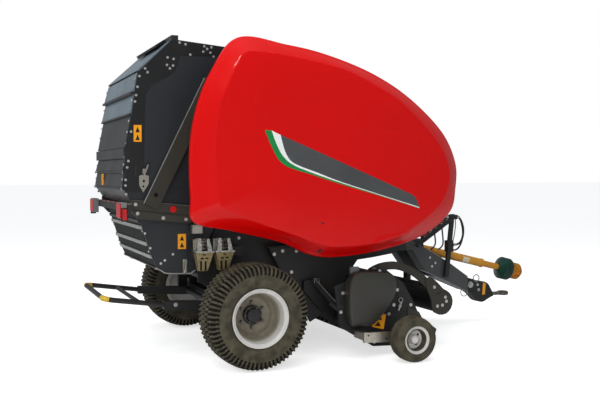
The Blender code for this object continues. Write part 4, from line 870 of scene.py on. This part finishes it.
# Tailgate rear: overlapping sheets, each with a folded lip at its foot, screwed to the walls along both
# sides; the upper three are coloured light bluish grey as a painted sky reflection. Below the lamp bar the
# sheets give way to open slats.
# Light bluish grey for the upper sheets: painted sky reflection; the others keep the dark sheet colour.
painted_reflection_sheet = finish("rear_sheet_painted_sky_reflection", (114, 130, 142), 0.3, (92, 106, 116), 0.35, 0.7, metallic=0.35,
                    grain=0.0004, grain_size=0.05, specular=0.5)
rear_dark = finish("rear_sheet_dark", (33, 35, 37), 0.4, (27, 29, 31), 0.3, 0.6, grain=0.0003)
rear_line = np.array([(-0.552, 2.664), (-0.835, 2.382), (-0.862, 2.22), (-0.886, 2.044), (-0.908, 1.907),
                      (-0.924, 1.771), (-0.946, 1.579), (-0.955, 1.435), (-0.88, 1.33), (-0.812, 1.15),
                      (-0.745, 0.93), (-0.686, 0.79), (-0.6, 0.745)])


def at_height(z):
    """x of the rear profile at a height."""
    return np.interp(z, rear_line[::-1, 1], rear_line[::-1, 0])


sheets = []
# The upper three sheets take the painted reflection colour, the rest the dark one.
for high, low, coat in ((2.655, 2.392, painted_reflection_sheet), (2.378, 2.222, painted_reflection_sheet), (2.203, 2.048, painted_reflection_sheet),
                        (2.034, 1.776, rear_dark), (1.688, 1.588, rear_dark), (1.57, 1.454, rear_dark),
                        (1.768, 1.694, rear_dark)):
    x0, x1 = at_height(high), at_height(low)
    sheets.append((slab([(x0 - 0.002, high), (x0 + 0.003, high), (x1 + 0.003, low), (x1 - 0.016, low),
                         (x1 - 0.016, low + 0.006)], -0.641, 0.641), coat))
rims = [(at_height(z) - 0.01, y, z) for y in (-0.63, 0.63)
        for z in (2.33, 2.27, 2.16, 2.09, 1.99, 1.9, 1.81, 1.73, 1.64, 1.52, 1.47)]
sheets.append((bolt_heads(rims, (-1, 0, 0.1), 0.008), bright_bolt))
studs = [(at_height(z) - 0.018, y, z) for z in (1.7, 1.579, 1.445) for y in (-0.648, 0.648)]
sheets.append((bolt_heads(studs, (-1, 0, 0), 0.009, height=0.008), bright_bolt))
plate_x = at_height(1.48)
for y in (0.2, 0.245):
    sheets.append((block((plate_x - 0.0185, y, 1.462), (plate_x - 0.013, y + 0.022, 1.565)), sign_orange))
hatch = [(-0.5, 2.694), (-0.556, 2.694), (-0.634, 2.645), (-0.626, 2.629), (-0.552, 2.67), (-0.5, 2.67)]
sheets.append((slab(hatch, -0.42, 0.34), gusset_dark))
sheets.append((tube([(-0.54, -0.3, 2.695), (-0.54, 0.3, 2.695)], 0.0015, 6, across=(1, 0, 0)), gusset_dark))
backing = [1.3, 1.15, 0.93, 0.79]
rear_of, front_of = ([(at_height(z) + shift, z) for z in backing] for shift in (-0.004, 0.01))
# A black sheet behind the open slats stands in for the dark inside: painted shade.
slats = [(slab(rear_of + front_of[::-1], -0.618, 0.618), painted_shade_black)]
# The three middle slats take the pale strip colour as painted highlights.
for z, tall, coat in ((1.165, 0.03, anthracite), (1.112, 0.034, painted_highlight_strip), (0.978, 0.034, painted_highlight_strip),
                      (0.872, 0.034, painted_highlight_strip), (0.788, 0.018, anthracite)):
    x, above = at_height(z), at_height(z + tall)
    strip = [(x - 0.015, z), (x + 0.01, z + 0.004), (above + 0.01, z + tall),
             (above - 0.011, z + tall - 0.004)]
    slats.append((slab(strip, -0.64, 0.64), coat))
low_rims = [(at_height(z) - 0.004, y, z) for z in (1.1, 0.93, 0.79) for y in (-0.628, 0.628)]
slats.append((bolt_heads(low_rims, (-1, 0, -0.3), 0.008), bright_bolt))
made("tailgate_rear_sheets", sheets, "tailgate", "panel_paint", bevel=0.001)
made("tailgate_rear_slats", slats, "tailgate", "panel_paint", bevel=0.001)
paint("tailgate_skin", rear_dark)
paint("tailgate_frame", panel_satin)

# Roof flap: a strip of belting from the roof sheet onto the tailgate, which closes the gap over the hinge.
flap = [(-0.084, 2.606), (-0.05, 2.603), (0.0, 2.584), (0.03, 2.562), (0.1, 2.5435)]
made("roof_flap", [(bent_sheet(flap, -0.633, 0.633, 0.0, 0.005), rubber_black)], "chassis", "belt_rubber")


# Spring housings: folded zinc-plated boxes beside the tailgate's foot. A coil stands in the open upper
# half of each, above a lip, and the lower half tapers and is slotted; both hang on one flat carrier.
zinc_yellow = finish("yellow_passivated_zinc", (176, 160, 116), 0.42, (120, 108, 76), 0.03, 0.8,
                     metallic=0.7, grain=0.0004)
zinc_bright = finish("bright_passivated_zinc", (206, 206, 200), 0.28, (120, 118, 108), 0.015, 0.9,
                     metallic=0.85, grain=0.0006, grain_size=0.006)


def coil(x, y, low, high, radius, wire, turns):
    """A helix of wire about an upright axis."""
    t = np.linspace(0, turns * math.tau, int(turns * 14) + 1)
    path = np.stack([x + radius * np.cos(t), y - radius * np.sin(t), low + (high - low) * t / t[-1]], -1)
    return tube(path, wire, 8, across=(0, 0, 1))


shapes = [
    (block((-0.43, 0.7525, 0.88), (0.02, 0.764, 0.96)), anthracite),
    (block((-0.06, 0.6505, 0.885), (0.015, 0.76, 0.955)), anthracite),
    (block((-0.415, 0.69, 1.075), (-0.33, 0.75, 1.145)), fitting_zinc),
]
for rear, front in ((-0.415, -0.26), (-0.245, -0.085)):
    back = [(rear, 1.03), (rear, 0.935), (front - 0.02, 0.935), (front - 0.045, 1.03)]
    rear_post = [(rear + 0.02, 1.04), (rear + 0.012, 0.93), (rear + 0.052, 0.93), (rear + 0.046, 1.04)]
    front_post = [(front - 0.062, 1.036), (front - 0.052, 0.93), (front - 0.012, 0.93),
                  (front - 0.04, 1.036)]
    rim = [(rear - 0.004, 0.938), (rear - 0.004, 0.926), (front + 0.004, 0.922), (front + 0.004, 0.934)]
    box = [(rear + 0.002, 0.926), (rear + 0.032, 0.776), (front - 0.055, 0.776), (front - 0.004, 0.924)]
    shapes += [
        (slab(back, 0.7635, 0.77), zinc_bright),
        (slab(rear_post, 0.77, 0.846), zinc_bright),
        (slab(front_post, 0.77, 0.846), zinc_bright),
        (coil((rear + front) / 2 - 0.006, 0.806, 0.935, 1.032, 0.027, 0.0075, 3.5), machined),
        (slab(rim, 0.765, 0.8495), zinc_bright),
        (slab(box, 0.766, 0.846), zinc_yellow),
    ]
    middle = (rear + front) / 2 - 0.01
    # Black strips on the lower box stand for its slots: painted shade.
    for x, wide, z0, z1 in ((-0.032, 0.016, 0.78, 0.856), (0.006, 0.016, 0.78, 0.856),
                            (-0.028, 0.026, 0.872, 0.884), (0.012, 0.026, 0.872, 0.884),
                            (-0.008, 0.026, 0.902, 0.912)):
        shapes.append((block((middle + x, 0.846, z0), (middle + x + wide, 0.8472, z1)), painted_shade_black))
pair("spring_boxes", shapes, "chassis", "zinc", "spring_housing_{}", bevel=0.0015)

# Belts, rollers and net: endless belts of ribbed rubber side by side round the chamber, and the pale roll
# of net on its tray under the lid.
belt_black = finish("belt_rubber", (30, 30, 31), 0.7, (52, 50, 46), 0.15, 0.7, grain=0.002,
                    grain_size=0.012)
net_white = finish("net_wrap_white", (214, 218, 214), 0.6, (186, 196, 190), 0.03, grain=0.0012,
                   grain_size=0.004)
rotor_steel = finish("rotor_worn_steel", (92, 88, 80), 0.4, (140, 134, 122), 0.04, 0.9, metallic=0.7,
                     grain=0.0006)
for node in ("front_belts", "tailgate_belts"):
    paint(node, belt_black)
paint("feed_rotor", rotor_steel)
net = [(0.03, -0.6), (0.1, -0.6), (0.102, -0.59), (0.102, 0.59), (0.1, 0.6), (0.03, 0.6)]
made("net_roll", [(turned(net, (1.28, 0, 1.8), (0, 1, 0), 40), net_white)], "chassis", "panel_paint")

# Pickup: a row of bent steel strips with the sprung tines of the reel between them, closed at both ends
# by a plate; a vacuum-formed plastic hood is screwed over the drive on each side.
hood_plastic = finish("pickup_hood_plastic", (44, 43, 38), 0.4, (52, 50, 44), 0.2, 0.6, grain=0.0004,
                      grain_size=0.003, specular=0.6)
strip_black = finish("stripper_black", (26, 26, 26), 0.45, (70, 66, 58), 0.08, 0.5, grain=0.0004)
paint("pickup_frame", gusset_dark)
reel_axis = np.array([1.2, 0.38])
turns = np.radians(np.linspace(118, -118, 25))
ring = np.stack([np.cos(turns), np.sin(turns)], -1)
band_line = np.vstack([reel_axis + ring * 0.275, (reel_axis + ring * 0.266)[::-1]])
bands = [(slab(band_line, y - 0.036, y + 0.036), strip_black) for y in np.linspace(-1.01, 1.01, 21)]
back = np.radians(np.linspace(118, 96, 4))
tie = np.stack([np.cos(back), np.sin(back)], -1)
tie_line = np.vstack([reel_axis + tie * 0.268, (reel_axis + tie * 0.262)[::-1]])
bands.append((slab(tie_line, -1.048, 1.048), strip_black))
made("stripper_bands", bands, "pickup", "chassis_paint", ["pickup_strippers"])
tines = []
for i in range(5):
    angle = math.radians(72 * i + 18)
    out = np.array([math.cos(angle), math.sin(angle)])
    lean = np.array([out[1], -out[0]])
    for y in np.linspace(-0.9595, 0.9595, 20):
        flat = [reel_axis + out * r + lean * l for r, l in ((0.16, 0.018), (0.2, 0.012), (0.275, -0.012))]
        tines.append((tube([(x, y, z) for x, z in flat], 0.0034, 6), zinc_bright))
made("reel_tines", tines, "pickup_reel", "zinc")
hood_knots = [(0.9, 0.735), (0.83, 0.66), (0.815, 0.5), (0.835, 0.31), (0.9, 0.285), (1.05, 0.29),
              (1.18, 0.42), (1.262, 0.55), (1.262, 0.66), (1.19, 0.715), (1.05, 0.74)]
hood_line = through(hood_knots, 8, closed=True)
hood_middle = np.array([1.02, 0.52])
PICKUP_FACE = 1.0655
shell = []
for share, y in ((1.0, PICKUP_FACE), (1.0, 1.125), (0.995, 1.14), (0.975, 1.153), (0.945, 1.161),
                 (0.9, 1.165), (0.7, 1.168), (0.4, 1.169), (0.1, 1.17)):
    flat = hood_middle + (hood_line - hood_middle) * share
    shell.append(upright(flat, y))
count = len(hood_line)
faces = quads(len(shell), count, around=True)
faces += [list(range(count)), [(len(shell) - 1) * count + i for i in range(count)][::-1]]
pair("pickup_hood", [((np.vstack(shell), faces), hood_plastic)], "pickup", "black_plastic",
     "pickup_cover_{}", crease=60)
hood_bolts = [(0.782, 0.4), (1.243, 0.354), (1.292, 0.429), (1.325, 0.559), (1.15, 0.73), (0.8, 0.56),
              (1.46, 0.42), (1.5, 0.3), (1.1, 0.12)]
skid = [(1.43, 0.4), (1.542, 0.354), (1.574, 0.298), (1.724, 0.189), (1.708, 0.145), (1.653, 0.075),
        (1.52, 0.06), (1.42, 0.12)]
shapes = [(side_bolts(hood_bolts, PICKUP_FACE, 0.01), bright_bolt)]
# The perforations are black discs: painted shade for the holes.
for i in range(24):
    column, row = i % 3, i // 3
    hole = disc_outline(1.285 + 0.022 * column, 0.38 + 0.03 * row + 0.01 * column, 0.0055, 10)
    shapes.append((slab(hole, PICKUP_FACE, PICKUP_FACE + 0.001), painted_shade_black))
shapes += blank_sign([(1.106, 0.372), (1.213, 0.352), (1.19, 0.225), (1.075, 0.255)], PICKUP_FACE)
shapes += [
    (wire_ring(1.352, 1.078, 0.47, 0.02, 0.0035), zinc_bright),
    (wire_ring(1.345, 1.078, 0.42, 0.014, 0.0035), zinc_bright),
    (wire_ring(0.665, 0.832, 0.64, 0.022, 0.003), zinc_bright),
    (bar((1.33, 1.076, 0.38), (1.36, 1.076, 0.45), 0.01, 0.01), zinc_bright),
    (bar((1.352, 1.06, 0.448), (1.352, 1.082, 0.448), 0.012, 0.012), zinc_bright),
    (bar((0.645, 0.812, 0.64), (0.69, 0.832, 0.625), 0.008, 0.008), zinc_bright),
    (block((0.88, 1.03, 0.69), (0.955, 1.062, 0.775)), lamp_grey),
    (bar((0.64, 0.8, 0.65), (0.79, 0.985, 0.43), 0.034, 0.034), anthracite),
    (bar((0.72, 0.985, 0.47), (0.79, 1.052, 0.4), 0.03, 0.03), anthracite),
    (bar((0.76, 1.046, 0.44), (0.82, 1.046, 0.44), 0.04, 0.05), anthracite),
    # Pale strip along the upper edge of the bar: painted highlight.
    (bar((0.652, 0.806, 0.664), (0.802, 0.991, 0.444), 0.01, 0.004), painted_highlight_strip),
    (slab(skid, PICKUP_FACE + 0.0002, PICKUP_FACE + 0.0042), olive_grey),
]
pair("pickup_fittings", shapes, "pickup", "chassis_paint", bevel=0.0012)
ARM_FACE = 1.2702
pair("wheel_arm_fittings", [
    # Two black discs on the arm stand for its holes: painted shade.
    (slab(disc_outline(0.935, 0.226, 0.008, 14), ARM_FACE, 1.2712), painted_shade_black),
    (slab(disc_outline(1.105, 0.19, 0.008, 14), ARM_FACE, 1.2712), painted_shade_black),
    (side_bolts([(1.3, 0.19)], ARM_FACE, 0.012), bright_bolt),
], "pickup", "zinc")

# Crop guard: two arched arms of flat plate with a flange along their tops, a bolted end plate round each
# end of the plastic roller, and height holes beside it.
end_plate = [(1.665, 0.624), (1.717, 0.649), (1.791, 0.591), (1.898, 0.485), (1.941, 0.383), (1.899, 0.3),
             (1.814, 0.292), (1.745, 0.323), (1.729, 0.432), (1.687, 0.524)]
arch = through([(1.105, 0.735), (1.162, 0.762), (1.241, 0.785), (1.361, 0.791), (1.462, 0.765),
                (1.617, 0.687), (1.7, 0.622)], 4)
roller_black = finish("roller_black", (18, 18, 19), 0.45, (34, 33, 32), 0.1, grain=0.0004)
paint("crop_roller", roller_black)
run = np.gradient(arch, axis=0)
run /= np.linalg.norm(run, axis=1, keepdims=True)
normal = np.stack([-run[:, 1], run[:, 0]], -1)
flange = np.vstack([arch - normal * 0.006, (arch + normal * 0.001)[::-1]])
guard_bolts = [(1.76, 0.547), (1.877, 0.45), (1.793, 0.374), (1.845, 0.379), (1.888, 0.413)]
# The height slot is a thin black mark: painted shade.
height_mark = [(1.78, 0.478), (1.84, 0.5), (1.838, 0.506), (1.778, 0.484)]
GUARD_ARM_FACE, END_PLATE_FACE = 0.9662, 0.9725
pair("guard_end", [
    (slab(flange, 0.93, 0.968), olive_grey),
    (slab(eased(end_plate, 0.02), GUARD_ARM_FACE, END_PLATE_FACE), olive_grey),
    (slab(height_mark, END_PLATE_FACE, 0.9735), painted_shade_black),
    (side_bolts(guard_bolts, END_PLATE_FACE, 0.01), bright_bolt),
    (side_bolts([(1.15, 0.72)], GUARD_ARM_FACE, 0.02), bright_bolt),
], "crop_guard", "chassis_paint", bevel=0.001)


# Drawbar: a welded box beam in satin grey. Bolts show on its faces, with pale strips along its top edges as
# painted highlights, and a slanting block of hydraulic couplers with coloured caps stands on the mast's
# brace.
beam_grey = finish("drawbar_grey", (66, 68, 69), 0.42, (54, 55, 56), 0.25, 0.6, grain=0.0004)
paint("drawbar", beam_grey)
paint("hitch_head", gusset_dark)
paint("hitch_ring", rotor_steel)
shapes = [
    (bolt_heads([(2.17, 0.242, 0.73), (2.24, 0.232, 0.672), (2.2, 0.235, 0.64)], (0, 1, 0), 0.009),
     bright_bolt),
    (bolt_heads([(1.8, 0.2665, 0.925), (1.7, 0.268, 0.925)], (0, 1, 0), 0.012), bright_bolt),
]
# Pale strips along the beam's upper edges: painted highlights.
for (x0, z0), (x1, z1) in (((2.115, 0.8275), (2.435, 0.6645)), ((2.437, 0.6635), (2.715, 0.4995))):
    y0, y1 = (0.247 - 0.15 * (x - 2.11) / 0.61 for x in (x0, x1))
    shapes.append((bar((x0, y0, z0), (x1, y1, z1), 0.01, 0.005), painted_highlight_strip))
made("drawbar_fittings", both(shapes), "chassis", "chassis_paint", bevel=0.001)

coupler_start, coupler_end = np.array((2.06, -0.262, 0.93)), np.array((2.385, -0.236, 1.12))
shapes = [(bar(coupler_start, coupler_end, 0.03, 0.055), anthracite)]
body_line = [(0.0, 0.0), (0.014, 0.0), (0.014, 0.02), (0.011, 0.022), (0.011, 0.04), (0.0, 0.04)]
cap_line = [(0.0, 0.04), (0.016, 0.04), (0.016, 0.06), (0.01, 0.066), (0.0, 0.066)]
for i, coat in enumerate((cap_red, zinc_bright, rubber_black, cap_red, zinc_bright)):
    spot = coupler_start + (coupler_end - coupler_start) * (0.08 + 0.21 * i)
    shapes.append((turned(body_line, spot, (-0.25, -0.8, 0.55), 16), zinc_bright))
    shapes.append((turned(cap_line, spot, (-0.25, -0.8, 0.55), 16), coat))
for drop in (0.1, 0.24):
    spot = coupler_start + (coupler_end - coupler_start) * (0.3 + drop * 2)
    shapes.append((tube(through([spot, spot + (0.01, 0.02, -0.06), (spot[0] + 0.02, -0.225, 0.86),
                                 (spot[0] - 0.02, -0.2, 0.8)], 5), 0.008, 8), hose_rubber))
made("coupler_block", shapes, "chassis", "chassis_paint", bevel=0.001)

# Hitch head: a flat head clamped between toothed discs, so its height can be set, with a linchpin through
# it and a plain yellow band.
teeth = np.linspace(0, math.tau, 96, endpoint=False)
reach = 0.058 + 0.004 * np.sign(np.sin(teeth * 24 + 0.1))
gear = np.stack([2.775 + reach * np.cos(teeth), 0.405 + reach * np.sin(teeth)], -1)
shapes = both([
    (slab(gear, 0.0605, 0.072), anthracite),
    (side_bolts([(2.775, 0.405)], 0.072, 0.022), zinc_bright),
    (side_bolts([(2.885, 0.345), (2.87, 0.4)], 0.0605, 0.011), zinc_bright),
    (slab([(2.94, 0.42), (2.975, 0.405), (2.965, 0.29), (2.93, 0.29)], 0.0602, 0.0615), sign_orange),
])
for x, z, size in ((2.7, 0.33, 0.042), (2.85, 0.47, 0.036)):
    shapes.append((wire_ring(x, -0.066, z, size, 0.005, 8, 24), machined))
made("hitch_fittings", shapes, "chassis", "chassis_paint", bevel=0.001)

# Drive shaft: telescopic yellow guard tubes. The outer end carries a ribbed dark-green guard cone and a
# bronze-coloured coupling collar, and the inner end runs in a black cone on the gearbox.
shaft_yellow = finish("shaft_guard_yellow", (214, 150, 38), 0.42, (176, 112, 22), 0.12, 0.7,
                      grain=0.0006, grain_size=0.01)
cone_green = finish("cone_dark_green", (24, 66, 56), 0.35, (10, 22, 18), 0.04, grain=0.0006)
collar_bronze = finish("collar_amber", (212, 142, 44), 0.4, (140, 84, 24), 0.03, 0.8, metallic=0.3,
                       grain=0.001)
label_pale = finish("blank_label", (222, 214, 186), 0.5, (200, 190, 160), 0.05)
paint("shaft_tube_outer", shaft_yellow)
paint("shaft_guard_cone", rubber_black)
joint_at, shaft_tip = np.array((2.2, 0.0, 0.804)), np.array((3.454, 0.0, 0.498))
shaft_run = (shaft_tip - joint_at) / np.linalg.norm(shaft_tip - joint_at)
length = float(np.linalg.norm(shaft_tip - joint_at))
inner_tube = [(0.0, 0.52), (0.033, 0.52), (0.033, length - 0.29), (0.0, length - 0.29)]
cone = [(0.0, -0.3), (0.046, -0.3), (0.052, -0.292), (0.098, -0.266)]
for i in range(7):
    cone += [(0.117, -0.256 + 0.014 * i), (0.117, -0.249 + 0.014 * i), (0.109, -0.247 + 0.014 * i),
             (0.109, -0.243 + 0.014 * i)]
cone += [(0.1, -0.15), (0.0, -0.15)]
collar = [(0.0, -0.155), (0.086, -0.155), (0.088, -0.14)]
for i in range(4):
    collar += [(0.088, -0.132 + 0.024 * i), (0.079, -0.128 + 0.024 * i), (0.079, -0.12 + 0.024 * i),
               (0.088, -0.116 + 0.024 * i)]
collar += [(0.084, -0.036), (0.06, -0.03), (0.0, -0.03)]
yoke = [(0.0, -0.032), (0.052, -0.032), (0.052, -0.004), (0.048, 0.0), (0.024, 0.0), (0.022, -0.02),
        (0.0, -0.02)]
made("shaft_inner_guard", [
    (turned(inner_tube, joint_at, shaft_run, 28), shaft_yellow),
    (turned(cone, shaft_tip, shaft_run, 36), cone_green),
    (turned(collar, shaft_tip, shaft_run, 32), collar_bronze),
    (turned(yoke, shaft_tip, shaft_run, 24), machined),
], "shaft_inner", "shaft_ochre", ["shaft_tube_inner"], crease=40)
rings = [(turned([(0.0425, s), (0.047, s + 0.003), (0.047, s + 0.022), (0.0425, s + 0.025)],
                 joint_at, shaft_run, 28), shaft_yellow) for s in (0.12, 0.765)]
sheet = np.radians(np.linspace(150, 235, 9))
across, up = np.array((0.0, 1.0, 0.0)), np.cross(shaft_run, (0.0, 1.0, 0.0))
patch = [joint_at + shaft_run * along + r * (np.cos(sheet)[:, None] * across + np.sin(sheet)[:, None] * up)
         for r, along in ((0.0427, 0.52), (0.0427, 0.6), (0.0436, 0.6), (0.0436, 0.52))]
label = (np.vstack(patch), quads(4, 9, closed=True) + [[0, 9, 18, 27], [35, 26, 17, 8]])
made("shaft_outer_trim", rings + [(label, label_pale)], "shaft_outer", "shaft_ochre", crease=50)

# Bale ramp: bent tube, with yellow marks sprayed round its outer corners, on two welded beams.
mark_yellow = finish("mark_yellow", (226, 190, 60), 0.5, (150, 120, 40), 0.03, 0.9)
corner = through([(-1.04, 0.487, 0.533), (-1.082, 0.455, 0.54), (-1.09, 0.405, 0.541)], 4)
made("ramp_marks", both([
    (tube(corner, 0.0232, 14), mark_yellow),
    (side_bolts([(-0.2, 0.432), (-0.5, 0.465)], 0.5302, 0.012), bright_bolt),
]), "bale_ramp", "chassis_paint")

# Jack: a drop leg in a sleeve on the far side of the drawbar, with a pull pin and a folding handle.
knob = [(0.0, 0.0), (0.044, 0.0), (0.044, 0.016), (0.034, 0.024), (0.0, 0.024)]
made("jack_fittings", [
    (bar((2.22, 0.318, 0.56), (2.22, 0.375, 0.56), 0.012, 0.012), zinc_bright),
    (wire_ring(2.22, 0.378, 0.56, 0.022, 0.003, 8, 24), zinc_bright),
    (turned(knob, (2.22, 0.285, 0.896), (0, 0, 1), 24), rubber_black),
], "chassis", "zinc", bevel=0.001)

# Axle clamps: a plate on each end of the axle with four bolts down through it.
clamp_bolts = [(x, y, 0.486) for x in (-0.035, 0.035) for y in (0.68, 0.74)]
made("axle_clamps", both([
    (bolt_heads(clamp_bolts, (0, 0, 1), 0.014), bright_bolt),
    (block((-0.05, 0.66, 0.48), (0.05, 0.76, 0.49)), anthracite),
]), "chassis", "chassis_paint", bevel=0.001)
